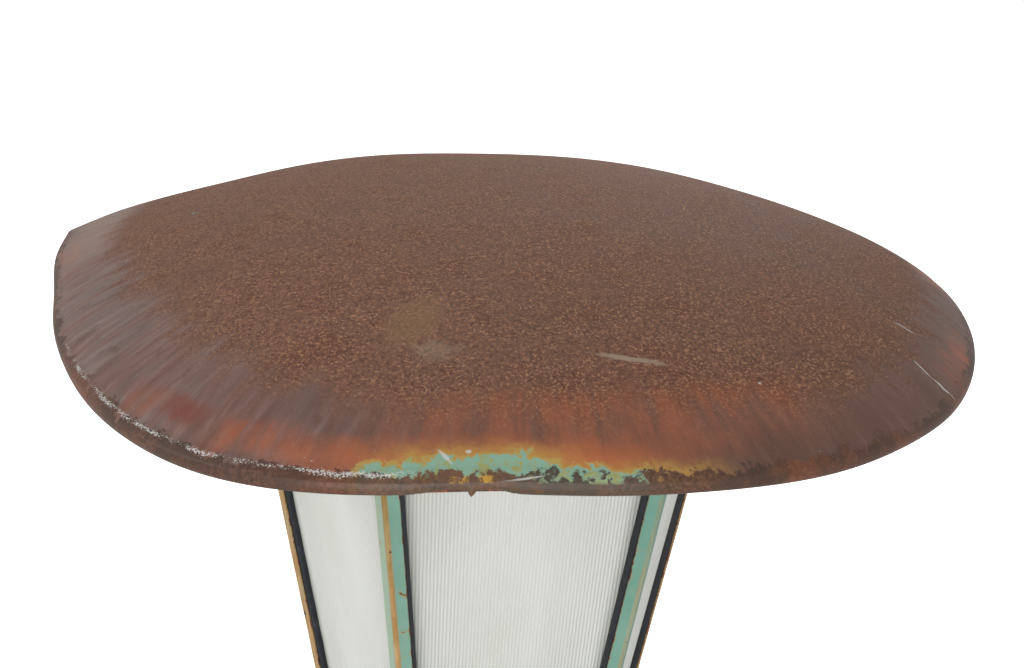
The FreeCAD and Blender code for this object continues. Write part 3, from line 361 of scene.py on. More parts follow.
# %% The roof's surface
def roof_rows():
    """Profile rows from the crown out, round the hem and back under: share, inset, how far down the hem."""
    rows = [(share, 0.0, 0.0) for share in np.sin(np.linspace(0.03, 1, 84) * np.pi / 2)]
    rows += [(1.0, 0.0, t) for t in (0.12, 0.25, 0.4, 0.55, 0.7, 0.85)]
    rows += [(1.0, 0.0005, 0.96), (1.0, 0.0013, 1.0), (1.0, SHEET, 0.97), (1.0, SHEET, 0.6)]
    rows += [(share, SHEET, 0.0) for share in np.sin(np.linspace(0.995, 0.03, 44) * np.pi / 2)]
    return rows


def build_roof():
    """Each profile row is turned round the axis: radius from the share, height from the place it lands."""
    rows = roof_rows()
    lift = lip_lift(angles)
    out = np.stack([np.cos(np.radians(angles)), np.sin(np.radians(angles))], -1)
    points = np.empty((len(rows), len(angles), 3))
    inward = np.empty((len(rows), len(angles)))
    for i, (share, inset, down) in enumerate(rows):
        # A shallow roll stands a little proud just above the hem, where the sheet bends over the wire.
        pinch = 0.0007 * np.exp(-((share - 0.978) / 0.007) ** 2)
        swell = 0.0009 * np.sin(np.pi * down) - 0.0009
        radius = sheet_radius(share, angles) - inset - lift * down * 0.35 + swell
        x, y = out[:, 0] * radius, out[:, 1] * radius
        z = sheet_height(share, x, y) - inset * (down == 0) - pinch - down * (HEM - lift)
        points[i] = np.stack([x, y, z], -1)
        inward[i] = (1 - share) * MEAN_RADIUS - down * HEM
    count = len(angles)
    middle_heights = points[[0, -1], :, 2].mean(axis=1) + 0.00005
    crown = [[0, 0, height] for height in middle_heights]
    points = np.concatenate([points.reshape(-1, 3), crown])
    inward = np.concatenate([inward.ravel(), [MEAN_RADIUS, MEAN_RADIUS]])
    around = np.arctan2(points[:, 1], points[:, 0]) * MEAN_RADIUS
    top, under, ring, last = len(points) - 2, len(points) - 1, np.arange(count), (len(rows) - 1) * count
    triangles = np.concatenate([
        np.stack([np.full(count, top), (ring + 1) % count, ring], -1),
        np.stack([np.full(count, under), last + ring, last + (ring + 1) % count], -1)])
    return face_outwards(put_mesh("roof_sheet", points, grid_quads(len(rows), count, close_columns=True),
                                  triangles=triangles, uv=np.stack([around, inward], -1), sharp=70))


roof = build_roof()
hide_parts("roof_skin")
print("roof:", len(roof.data.polygons), "faces")

# %% [markdown]
# ## What the knocked sheet lies on
# The wire in the hem and the six ribs under the dome would be bent with the sheet, or the sheet could not
# have moved. So both follow the same radius and height functions as the roof itself, a little below it.

# %% Rim wire and ribs
WIRE, RIB_LOW, RIB_FROM, RIB_TO, RIB_HALF = 0.0026, 0.937, 0.040, 0.405, 0.002


def tube_ring(name, centres, radius, sides=12):
    """A round bar along a closed loop of points, upright sections."""
    out = centres[:, :2] / np.linalg.norm(centres[:, :2], axis=1, keepdims=True)
    turn = np.arange(sides) * 2 * np.pi / sides
    points = np.empty((len(centres), sides, 3))
    points[..., :2] = centres[:, None, :2] + out[:, None, :] * (radius * np.cos(turn))[None, :, None]
    points[..., 2] = centres[:, None, 2] + radius * np.sin(turn)
    return face_outwards(put_mesh(name, points, grid_quads(len(centres), sides, True, True)))


wire_radius_at = sheet_radius(1.0, angles) - SHEET - WIRE - 0.0010
wire_height = RIM_Z - HEM + WIRE + 0.0004 + np.clip(lip_lift(angles), 0, 0.0016) * 0.5
wire_centres = np.stack([np.cos(np.radians(angles)) * wire_radius_at,
                         np.sin(np.radians(angles)) * wire_radius_at, wire_height], -1)
wire = tube_ring("rim_wire_bent", wire_centres, WIRE)
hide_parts("rim_wire")


def build_ribs():
    """Six upright plates whose top edges follow the underside of the knocked sheet."""
    share = np.linspace(0.01, 1, 400)
    points, steps = [], 60
    for azimuth in range(0, 360, 60):
        out = np.array([math.cos(math.radians(azimuth)), math.sin(math.radians(azimuth))])
        radius = sheet_radius(share, azimuth)
        under = sheet_height(share, out[0] * radius, out[1] * radius) - SHEET - 0.0011
        end = min(RIB_TO, float(np.interp(-(RIB_LOW + 0.003), -under, radius)))
        r = np.linspace(RIB_FROM, end, steps)
        high = np.interp(r, radius, under)
        side = np.array([-out[1], out[0]]) * RIB_HALF
        loop = [(1, RIB_LOW + 0 * r), (1, high), (-1, high), (-1, RIB_LOW + 0 * r)]
        points.append(np.stack([np.column_stack([r * out[0] + k * side[0], r * out[1] + k * side[1], z])
                                for k, z in loop]))
    quads = np.concatenate([grid_quads(4, steps, close_rows=True),
                            [[0, steps, 2 * steps, 3 * steps],
                             [4 * steps - 1, 3 * steps - 1, 2 * steps - 1, steps - 1]]])
    quads = np.concatenate([quads + 4 * steps * i for i in range(6)])
    return face_outwards(put_mesh("roof_ribs_cut", np.stack(points), quads, sharp=30))


ribs = build_ribs()
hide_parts("roof_ribs")
print("wire and ribs:", len(wire.data.polygons), len(ribs.data.polygons))

# %% [markdown]
# ## The roof's finish
# Four zones meet on the roof. The crown is covered in fine rust grains. Towards the rim the steel is smooth
# and purple-grey, with soft orange runs that follow the water outwards. At the front the last mint paint
# survives under a halo of fresh orange rust. The very edge is dark, with a line of white scratches where it
# was dragged. It could be painted by hand on an image, but masks that are formulas stay sharp at any size.
# Each mask is drawn in two measures: the direction from the axis, and how far in from the rim a place is,
# which the sheet's own UV map carries in metres. This cell makes those two measures and a few short helpers.

# %% The roof's measures and helpers
roof_steel, roof_tree, roof_shader = new_material("rusted_roof_steel")
roof_place = roof_tree.nodes.new("ShaderNodeTexCoord")
roof_at = roof_place.outputs["Object"]
inward = add(roof_tree, "ShaderNodeSeparateXYZ", Vector=roof_place.outputs["UV"]).outputs[1]
level = add(roof_tree, "ShaderNodeVectorMath", {"operation": "MULTIPLY"}, i0=roof_at, i1=(1, 1, 0)).outputs[0]
outwards = add(roof_tree, "ShaderNodeVectorMath", {"operation": "NORMALIZE"}, i0=level).outputs[0]


def ramp(value, low, high, out_low=0.0, out_high=1.0):
    """The smooth ramp of a value from low to high, in the roof's material."""
    return between(roof_tree, value, low, high, out_low, out_high)


def cover(base, mask, paint):
    """The base colour, covered by paint where the mask is 1."""
    return mix(roof_tree, mask, base, paint)


def times(*values):
    """All the values multiplied together."""
    total = values[0]
    for value in values[1:]:
        total = math_node(roof_tree, "MULTIPLY", total, value)
    return total


def strongest(a, b):
    """The larger of two masks."""
    return math_node(roof_tree, "MAXIMUM", a, b)


def away_from(value, place):
    """How far a value is from a place, either way."""
    return math_node(roof_tree, "ABSOLUTE", math_node(roof_tree, "SUBTRACT", value, place))


def shifted(value, wobble, amount):
    """A value pushed to and fro by a noise, so that what is cut from it has a ragged edge."""
    return math_node(roof_tree, "ADD", value, times(math_node(roof_tree, "SUBTRACT", wobble, 0.5), amount))


print("roof material:", len(roof_tree.nodes), "nodes for its measures")

# %% [markdown]
# ## Directions and runs
# A mark on the roof has a direction from the axis, in degrees. The dot product of two directions is the
# cosine of the angle between them, so a window towards a direction needs no seam at 180 degrees. Rain runs
# outwards, so some noises are stretched that way too.


# %% Directions and noises
def window(centre, width):
    """1 towards a direction in degrees, fading to 0 at the width on each side of it."""
    way = (math.cos(math.radians(centre)), math.sin(math.radians(centre)), 0)
    along = add(roof_tree, "ShaderNodeVectorMath", {"operation": "DOT_PRODUCT"}, i0=outwards, i1=way)
    return ramp(along.outputs["Value"], math.cos(math.radians(width)), 1.0)


def radial(across, along, detail=4.0, distortion=0.3):
    """Noise stretched out from the axis: across and along are waves per metre."""
    turned = add(roof_tree, "ShaderNodeVectorMath", {"operation": "SCALE"}, i0=outwards,
                 Scale=across * MEAN_RADIUS).outputs[0]
    climb = add(roof_tree, "ShaderNodeCombineXYZ", Z=times(inward, along)).outputs[0]
    both = add(roof_tree, "ShaderNodeVectorMath", {"operation": "ADD"}, i0=turned, i1=climb).outputs[0]
    return noise(roof_tree, both, 1.0, detail, 0.6, distortion)


slow = noise(roof_tree, roof_at, 6.0, 5.0, 0.6)
middle = noise(roof_tree, roof_at, 24.0, 5.0, 0.65)
patchy = noise(roof_tree, roof_at, 58.0, 5.0, 0.65, 0.4)
torn = noise(roof_tree, roof_at, 130.0, 5.0, 0.7, 0.6)
grain = noise(roof_tree, roof_at, 330.0, 3.0, 0.75)
grit = noise(roof_tree, roof_at, 520.0, 2.0, 0.6)
runs = radial(42.0, 9.0)
fine_runs = radial(150.0, 26.0)
print("roof material:", len(roof_tree.nodes), "nodes with its noises")

# %% [markdown]
# ## The crown
# The top of the dome has rusted evenly into grains of tan and orange on red-brown. Two noises at the size of
# the grains lay dark pits and light grains over a slowly changing ground.

# %% Crown
leftward = ramp(add(roof_tree, "ShaderNodeSeparateXYZ", Vector=roof_at).outputs[0], 0.30, -0.30)
crown = mix(roof_tree, ramp(slow, 0.38, 0.62), screen(112, 71, 51), screen(108, 75, 58))
crown = cover(crown, times(leftward, 0.55), screen(134, 98, 82))
crown = cover(crown, times(ramp(middle, 0.48, 0.7), 0.5), screen(112, 66, 46))
crown = cover(crown, times(ramp(grain, 0.50, 0.36), 0.7), screen(76, 48, 38))
crown = cover(crown, times(ramp(grain, 0.54, 0.66), 0.7), screen(152, 106, 78))
light_grit = times(ramp(grit, 0.54, 0.64), ramp(middle, 0.30, 0.55, 0.3, 1.0), 0.75)
crown = cover(crown, light_grit, screen(182, 136, 100))
print("roof material:", len(roof_tree.nodes), "nodes with its crown")

# %% [markdown]
# ## The smooth band
# Near the rim the steel is smooth, greyer towards the left, with soft runs. The line where it meets the
# grains is pushed about by three noises, so it is never a drawn edge.

# %% Smooth band
grey_side = window(-158, 66)
ground = mix(roof_tree, grey_side, screen(103, 71, 57), screen(126, 104, 98))
run_colour = mix(roof_tree, grey_side, screen(108, 76, 63), screen(130, 94, 84))
smooth = mix(roof_tree, ramp(runs, 0.36, 0.62), ground, run_colour)
smooth = cover(smooth, times(ramp(fine_runs, 0.48, 0.70), 0.45), screen(92, 66, 56))
smooth = cover(smooth, times(ramp(fine_runs, 0.50, 0.30), ramp(grey_side, 0.0, 1.0, 0.10, 0.40)),
               screen(158, 136, 130))
smooth = cover(smooth, times(ramp(patchy, 0.55, 0.72), 0.55), screen(98, 66, 54))
depth = shifted(shifted(shifted(inward, runs, 0.060), patchy, 0.045), grain, 0.012)
depth = math_node(roof_tree, "SUBTRACT", depth, times(grey_side, 0.030))
zone = ramp(depth, 0.062, 0.014)
colour = cover(crown, zone, smooth)
print("roof material:", len(roof_tree.nodes), "nodes with its smooth band")

# %% [markdown]
# ## Fresh rust
# Fresh rust is orange and runs outwards in flames. Each patch is one row: a direction, half its width in
# degrees, how far in from the rim it lies, how far it reaches, and how strong it is.

# %% Fresh rust
flames = ramp(radial(95.0, 16.0), 0.36, 0.60, 0.30, 1.0)


def patch(centre, width, distance, reach, strength):
    """A window in direction times a band in distance, whose line wanders with the runs."""
    from_middle = away_from(shifted(inward, runs, 0.03), distance)
    return times(window(centre, width), ramp(from_middle, reach, reach * 0.25), strength)


PATCHES = [(-129, 6, 0.020, 0.016, 0.5), (-118, 5, 0.019, 0.017, 0.8), (-112.5, 5, 0.014, 0.016, 0.8),
           (-80, 7, 0.036, 0.022, 0.6), (-40, 9, 0.012, 0.016, 0.8), (-8, 12, 0.022, 0.022, 0.85),
           (-177, 8, 0.020, 0.018, 0.55), (150, 12, 0.03, 0.03, 0.5), (70, 16, 0.03, 0.03, 0.5)]
warm = patch(-88, 26, 0.040, 0.034, 0.60)
for row in PATCHES:
    warm = strongest(warm, patch(*row))
colour = cover(colour, times(warm, ramp(middle, 0.36, 0.60, 0.5, 1.0), flames), screen(170, 94, 62))
# Painted sheen: a pale tan band along the rim towards the far left.
colour = cover(colour, patch(174, 17, 0.040, 0.040, 0.6), screen(158, 130, 112))
colour = cover(colour, patch(-125.5, 3.2, 0.023, 0.012, 0.8), screen(128, 68, 56))
glow_in = shifted(inward, patchy, 0.016)
halo = times(window(-98, 20), ramp(glow_in, 0.032, 0.011))
colour = cover(colour, times(halo, ramp(middle, 0.34, 0.56, 0.65, 0.95)), screen(184, 104, 62))
ochre = strongest(times(window(-99.5, 10), ramp(glow_in, 0.026, 0.013)),
                  times(window(-89, 12), ramp(glow_in, 0.014, 0.006)))
colour = cover(colour, times(ochre, ramp(torn, 0.36, 0.54, 0.35, 0.9)), screen(186, 146, 72))
print("fresh rust:", len(PATCHES), "patches round the rim")

# %% [markdown]
# ## The last of the mint paint
# The roof was once painted. What survives are two ragged strips over the front, with an ochre stain at their
# edge. The strips are windows too, but cut hard, with the torn noise deciding where paint still holds.

# %% Mint paint
mint_in = shifted(shifted(inward, patchy, 0.030), torn, 0.020)
mint = strongest(times(window(-99.5, 8.5), ramp(mint_in, 0.018, 0.009)),
                 times(window(-90.5, 6.5), ramp(mint_in, 0.012, 0.004)))
mint = strongest(mint, times(window(-106.5, 3.5), ramp(mint_in, 0.018, 0.008), 0.8))
colour = cover(colour, times(ramp(mint, 0.16, 0.34), 0.8), screen(178, 156, 84))
mint_colour = mix(roof_tree, ramp(torn, 0.50, 0.64), screen(136, 174, 152), screen(158, 160, 98))
colour = cover(colour, ramp(shifted(mint, torn, 1.3), 0.46, 0.56), mint_colour)
print("roof material:", len(roof_tree.nodes), "nodes with its paint")

# %% [markdown]
# ## The hem
# The turned edge holds water, so it is dark rust, and it bites upwards into whatever lies above it. A flat
# darkening over it is painted shade. A little paint is spared at the front.

# %% Hem
roof_rust = use(roof_tree, rust_group, Vector=roof_at, Fresh=0.35)
bite_in = shifted(shifted(shifted(inward, patchy, 0.026), runs, 0.012), torn, 0.014)
bite = ramp(bite_in, 0.0058, 0.0036)
hem_colour = mix(roof_tree, ramp(middle, 0.4, 0.62), roof_rust.outputs["Color"], screen(80, 59, 47))
hem_colour = cover(hem_colour, times(ramp(torn, 0.55, 0.68), 0.6), screen(128, 84, 52))
# Painted shade: a flat darkening over the whole hem colour.
hem_colour = cover(hem_colour, 0.30, screen(58, 42, 34))
spared = times(window(-90, 7), ramp(torn, 0.50, 0.55), ramp(inward, -0.001, 0.001))
colour = cover(colour, times(bite, math_node(roof_tree, "SUBTRACT", 1.0, spared), 0.94), hem_colour)
print("roof material:", len(roof_tree.nodes), "nodes with its hem")

# %% [markdown]
# ## Scratches and scuffs
# Dragging the roof along a wall left a broken white line near the edge, and there are a few flecks and pale
# scuffs. The line is a narrow band in distance, broken by a very fine noise. A scuff is an ellipse on the
# plan whose distance is disturbed before it is cut.

# %% Scratches
chip = radial(800.0, 1300.0, 4.0, 0.5)
chip_slow = radial(36.0, 60.0, 3.0, 0.2)
line = ramp(away_from(shifted(inward, chip_slow, 0.007), 0.0046), 0.0030, 0.0002)
line = times(line, ramp(window(-127, 27), 0.0, 0.35), ramp(chip_slow, 0.30, 0.55, 0.35, 1.0))
white = ramp(shifted(line, chip, 4.0), 0.82, 1.02)
fleck = times(ramp(grit, 0.67, 0.72), ramp(patchy, 0.52, 0.62), window(-110, 14), ramp(inward, 0.040, 0.004))
white = strongest(white, fleck)


def scuff(x, y, long, wide, turn):
    """An elongated mark at a place on the plan, broken up by the patchy noise."""
    moved = add(roof_tree, "ShaderNodeMapping", {"vector_type": "TEXTURE"}, Vector=level, Location=(x, y, 0),
                Rotation=(0, 0, math.radians(turn)), Scale=(long, wide, 1)).outputs[0]
    far = add(roof_tree, "ShaderNodeVectorMath", {"operation": "LENGTH"}, i0=moved).outputs["Value"]
    return ramp(shifted(shifted(far, patchy, 1.4), torn, 1.6), 1.0, 0.45)


# Each scratch is a place on the plan, half its length and width in metres, and its turn in degrees.
SCRATCHES = [(0.281, -0.255, 0.012, 0.0012, -40), (0.277, -0.318, 0.013, 0.0014, -35),
             (0.268, -0.308, 0.010, 0.0011, -62), (0.122, -0.354, 0.0020, 0.0014, 0),
             (-0.074, -0.400, 0.0024, 0.0016, 0), (-0.045, -0.4165, 0.016, 0.0006, 2),
             (-0.088, -0.402, 0.007, 0.0012, -48)]
colour = cover(colour, times(scuff(-0.100, -0.285, 0.040, 0.022, 62), 0.30), screen(156, 124, 84))
colour = cover(colour, times(scuff(0.036, -0.332, 0.030, 0.0035, -14), 0.75), screen(170, 148, 128))
colour = cover(colour, times(scuff(-0.088, -0.318, 0.020, 0.012, 10), 0.22), screen(178, 160, 138))
for row in SCRATCHES:
    white = strongest(white, times(scuff(*row), 0.8))
white = times(white, ramp(inward, -0.0002, 0.0014))
colour = cover(colour, times(white, 0.88), screen(214, 212, 208))
# Two flecks of yellow paint hang on at the tear, and a speck of blue-green lies near the left edge.
low_band = ramp(away_from(inward, 0.0012), 0.0022, 0.0012)
yellow = strongest(window(-101.0, 0.9), window(-98.9, 0.7))
colour = cover(colour, times(yellow, low_band, ramp(torn, 0.47, 0.53)), screen(196, 150, 60))
colour = cover(colour, scuff(-0.287, -0.012, 0.0040, 0.0024, 0), screen(92, 150, 150))
print("scratches:", len(SCRATCHES))

# %% [markdown]
# ## The roof's shine and relief
# Rust grains are matt and stand up, and the smooth band has a dull shine. So the same zone mask that chose
# the colours sets the roughness and how much of the grain the bump shows.

# %% Roof shine and relief
rough = shifted(shifted(ramp(zone, 0.0, 1.0, 0.82, 0.44), middle, 0.25), grain, 0.15)
relief = math_node(roof_tree, "ADD", times(grain, ramp(zone, 0.0, 1.0, 1.0, 0.2)), times(middle, 0.6))
relief = math_node(roof_tree, "ADD", relief, times(fine_runs, 0.1))
relief = math_node(roof_tree, "SUBTRACT", relief, times(bite, 0.5))
roof_tree.links.new(colour, roof_shader.inputs["Base Color"])
roof_tree.links.new(rough, roof_shader.inputs["Roughness"])
roof_shader.inputs["Specular IOR Level"].default_value = 0.35
bump(roof_tree, roof_shader, relief, 0.6, 0.0011)
roof.data.materials.append(roof_steel)
print("roof material:", len(roof_tree.nodes), "nodes in all")

# %% [markdown]
# ## Corner bars
# Each corner of the body is a rolled bar: two flanges at 120 degrees, a worn half-round nose between them and
# a web behind. It is a level cross-section pushed along the leaning corner. The nose has lost its paint to a
# century of hands and ladders; the flanges keep theirs, chipped at their edges.

# %% Corner bar shape
NOSE = 0.0023


def bar_profile():
    """The bar's outline in a level plane, X out from the corner and Y along, with how far across each is."""
    flange = 0.014
    end = np.array([-flange / 2, flange * COS30])
    inward = np.array([-COS30, -0.5])
    turn = np.radians(np.linspace(-64, 64, 13))
    # The nose is an arc that stands a little proud between the flanges.
    arc = np.stack([-NOSE * 1.12 + NOSE * 1.04 * np.cos(turn), NOSE * np.sin(turn) * 1.06], -1)
    foot = np.array([[-0.0023, 0.0029]])
    side = np.concatenate([[end + inward * 0.0013], [end + inward * 0.0004], [end + [0.0003, -0.0005]], foot])
    points = np.concatenate([side, arc[::-1], side[::-1] * [1, -1], [[-0.0037, 0.0]]])
    flange_across = [1.0, 1.0, 0.95, 0.24]
    nose_across = np.linspace(0.2, -0.2, len(arc))
    across = np.concatenate([flange_across, nose_across, np.negative(flange_across[::-1]), [0.0]])
    return points, across


# By bar: how pale the paint is on one side, how far both flanges have worn to tan, and how bare the nose is.
WEAR = {1: (0.9, 0.0, 1.0), 2: (0.0, 0.0, 0.2), 3: (0.0, 0.9, 1.0), 4: (0.2, 0.3, 0.9), 5: (0.1, 0.4, 1.0),
        6: (0.0, 0.9, 1.0)}


def corner_bar(number):
    """The outline at each height, moved out to the corner: low radius plus slope times the height."""
    outline, across = bar_profile()
    heights = np.linspace(BODY_LOW, BODY_HIGH, 110)
    corner = CORNER_LOW + SLOPE * (heights - BODY_LOW)
    a = math.radians(60 * (number - 1) - 120)
    radial, along = np.array([math.cos(a), math.sin(a), 0]), np.array([-math.sin(a), math.cos(a), 0])
    up = np.array([0, 0, 1])
    # A bar that has been leant on is not quite straight: it is let in by up to a quarter of a millimetre.
    dent = 0.00025 * np.abs(np.sin(heights * 41 + number) * np.sin(heights * 17 + 2 * number))
    flange = (radial * (corner[:, None, None] + outline[None, :, :1] - dent[:, None, None])
              + along * outline[None, :, 1:] + up * heights[:, None, None])
    web_z = np.array([BODY_LOW + BAND, BODY_HIGH - BAND])
    section = np.array([[-0.0034, 0.002], [-0.030, 0.002], [-0.030, -0.002], [-0.0034, -0.002]])
    web = (radial * (CORNER_LOW + SLOPE * (web_z - BODY_LOW)[:, None, None] + section[None, :, :1])
           + along * section[None, :, 1:] + up * web_z[:, None, None])
    rows, columns = flange.shape[:2]
    start = rows * columns
    across_all = np.concatenate([np.broadcast_to(across, (rows, columns)).ravel(), np.full(8, 0.9)])
    height_all = np.concatenate([np.repeat(heights, columns), np.repeat(web_z, 4)])
    faces = grid_quads(rows, columns, close_columns=True).tolist()
    faces += (grid_quads(2, 4, close_columns=True) + start).tolist()
    faces += [list(range(columns))[::-1], list(range(start - columns, start))]
    faces += [[start + 3, start + 2, start + 1, start], [start + 4, start + 5, start + 6, start + 7]]
    bar = put_mesh(f"bar_{number}", np.concatenate([flange.reshape(-1, 3), web.reshape(-1, 3)]), faces,
                   uv=np.stack([across_all, height_all], -1), sharp=32)
    paleness, wear, bare = WEAR[number]
    pale_side = np.where(across_all < 0, paleness, paleness * 0.1)
    for name, values in (("pale_side", pale_side), ("worn", np.full(len(across_all), wear)),
                         ("bare_nose", np.full(len(across_all), bare))):
        layer = bar.data.attributes.new(name, "FLOAT", "POINT")
        layer.data.foreach_set("value", values.astype(np.float32))
    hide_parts(f"corner_bar_{number}")
    return face_outwards(bar)


bars = [corner_bar(number) for number in range(1, 7)]
print("bars:", len(bars), "of", len(bars[0].data.polygons), "faces")

# %% [markdown]
# ## Old paint
# The steelwork is painted a pale mint that has chalked in places and chips to rust. On the bars the nose has
# worn to a tan undercoat and then to an olive stain. The bars carry their own measures for this, how far
# across a place is and how high, so the wear follows the shape and not a flat picture laid over it.


# %% Paint finishes
def paint_finish(name, bar=True, amount=0.40):
    """Mint paint over rust, and on a bar the worn nose between its flanges as well."""
    material, tree, shader = new_material(name)
    place = tree.nodes.new("ShaderNodeTexCoord")
    flat = place.outputs["Object"]
    cloudy = noise(tree, flat, 18.0, 4.0, 0.6)
    streaks = noise(tree, stretched(tree, flat, (1.0, 1.0, 0.10)), 150.0, 4.0, 0.6)
    paint = mix(tree, between(tree, cloudy, 0.35, 0.65), screen(112, 160, 144), screen(126, 170, 154))
    paint = mix(tree, product(tree, between(tree, streaks, 0.52, 0.7), 0.4), paint, screen(146, 166, 134))
    rust = use(tree, rust_group, Vector=flat, Fresh=0.6)
    edge = 0.0
    if bar:
        across_up = add(tree, "ShaderNodeSeparateXYZ", Vector=place.outputs["UV"])
        across = math_node(tree, "ABSOLUTE", across_up.outputs[0])
        edge = between(tree, across, 0.90, 0.985)
        pale_side = add(tree, "ShaderNodeAttribute", {"attribute_name": "pale_side"}).outputs["Fac"]
        worn = add(tree, "ShaderNodeAttribute", {"attribute_name": "worn"}).outputs["Fac"]
        # Paler paint on one side of each bar, by an amount given per bar.
        paint = mix(tree, pale_side, paint, screen(168, 188, 164))
    chips = use(tree, chip_group, Vector=flat, Scale=85.0, Amount=amount, Edge=edge)
    colour = mix(tree, product(tree, chips.outputs["Halo"], 0.7), paint, screen(176, 148, 84))
    if bar:
        patches = noise(tree, stretched(tree, flat, (1.0, 1.0, 0.30)), 26.0, 4.0, 0.6)
        tan = mix(tree, between(tree, streaks, 0.35, 0.65), screen(196, 160, 112), screen(172, 130, 74))
        # Higher up, the worn nose is stained olive.
        high = between(tree, across_up.outputs[1], 0.66, 0.86)
        olive = product(tree, between(tree, patches, 0.40, 0.56), high)
        tan = mix(tree, olive, tan, screen(128, 122, 66))
        spots = noise(tree, flat, 120.0, 4.0, 0.6)
        tan = mix(tree, between(tree, spots, 0.66, 0.7), tan, screen(92, 62, 46))
        bare_nose = add(tree, "ShaderNodeAttribute", {"attribute_name": "bare_nose"}).outputs["Fac"]
        nose = between(tree, math_node(tree, "ADD", across, product(tree, patches, 0.10)), 0.34, 0.26)
        nose = product(tree, nose, between(tree, patches, 0.62, 0.42, bare_nose, 1.0))
        nose = product(tree, nose, between(tree, bare_nose, 0.0, 0.6, 0.25, 1.0))
        reach = product(tree, worn, between(tree, patches, 0.30, 0.50, 0.7, 1.05))
        colour = mix(tree, math_node(tree, "MAXIMUM", nose, reach), colour, tan)
        colour = mix(tree, product(tree, edge, 0.4), colour, screen(138, 104, 60))
    colour = mix(tree, chips.outputs["Bare"], colour, rust.outputs["Color"])
    tree.links.new(colour, shader.inputs["Base Color"])
    tree.links.new(between(tree, cloudy, 0.2, 0.8, 0.42, 0.62), shader.inputs["Roughness"])
    shader.inputs["Specular IOR Level"].default_value = 0.3
    step = math_node(tree, "SUBTRACT", product(tree, rust.outputs["Height"], 0.2), chips.outputs["Bare"])
    bump(tree, shader, math_node(tree, "ADD", step, product(tree, streaks, 0.25)), 0.5, 0.0004)
    return material


bar_paint = paint_finish("worn_mint_paint")
frame_paint = paint_finish("mint_paint", bar=False, amount=0.42)
for bar in bars:
    bar.data.materials.append(bar_paint)
print("bar paint:", len(bar_paint.node_tree.nodes), "nodes")

# %% [markdown]
# ## Reeded panes
# The panes are cast glass with fine half-round reeds, 3.3 mm apart, that run straight up and down. The pane
# is cut to the tapered opening, so its outer reeds stop part way. A reed is the absolute value of a sine:
# round on top and sharp in the groove. Columns of points follow the reeds, and each column is as long as the
# pane is tall at that place.

# %% Pane shape
REED = 0.0033
STEPS = 8                                        # points to one reed
RELIEF = 0.00055


def reeded_pane(name, face, depth, thickness, inset, low, high, body="lantern"):
    """The front is set back in the grooves by relief times 1 - |sin(pi x / reed)|; the back is flat."""
    wide = half_side(high) - inset
    reeds = int(wide / REED)
    x = np.arange(-reeds * STEPS, reeds * STEPS + 1) * REED / STEPS
    groove = 1 - np.abs(np.sin(np.pi * x / REED))
    relief = RELIEF * groove
    slope = SLOPE * math.cos(TILT) / 2
    bottom = np.maximum(low, (np.abs(x) - half_side(0) + inset) / slope)
    bottom = np.minimum(bottom, high - 0.001)
    top = np.full_like(x, high)
    front, back = -depth - relief, np.full_like(x, -depth - thickness)
    loops = np.stack([np.stack([x, bottom, front], -1), np.stack([x, top, front], -1),
                      np.stack([x, top, back], -1), np.stack([x, bottom, back], -1)])
    count = len(x)
    quads = grid_quads(4, count, close_rows=True)
    ends = np.array([[0, count, 2 * count, 3 * count],
                     [4 * count - 1, 3 * count - 1, 2 * count - 1, count - 1]])
    # U is the distance in from the nearer sloping side, V the height on the face.
    flat = loops.reshape(-1, 3)
    uv = np.stack([half_side(flat[:, 1]) - inset - np.abs(flat[:, 0]), flat[:, 1]], -1)
    pane = put_mesh(name, on_face(face, flat), np.concatenate([quads, ends]), body=body, uv=uv, sharp=50)
    layer = pane.data.attributes.new("groove", "FLOAT", "POINT")
    layer.data.foreach_set("value", np.tile(groove ** 1.5, 4).astype(np.float32))
    return face_outwards(pane)


WEB_HALF, WEB_GAP = 0.002, 0.0005


def web_inset(depth):
    """How far from the face's edge a piece clears the corner's web, for its deepest point."""
    return (WEB_HALF + WEB_GAP + depth / 2) / COS30


FIXED = (0, 1, 2, 4, 5)
GLASS_FRONT, GLASS_BACK = 0.0085, 0.019
panes = []
for face in FIXED:
    pane = reeded_pane(f"pane_{face + 1}", face, GLASS_FRONT, GLASS_BACK - GLASS_FRONT, web_inset(GLASS_BACK),
                       BAND_ALONG - 0.006, FACE_LENGTH - BAND_ALONG - 0.0012 + 0.006)
    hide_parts(f"glass_pane_{face + 1}")
    panes.append(pane)
DOOR_SEAT = 0.0183
door_pane = reeded_pane("door_pane", 3, 0.005, 0.005, DOOR_SEAT, BAND_ALONG + 0.0043,
                        FACE_LENGTH - BAND_ALONG - 0.0043, body="door")
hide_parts("door_glass")
panes.append(door_pane)
print("pane faces:", [len(p.data.polygons) for p in panes])
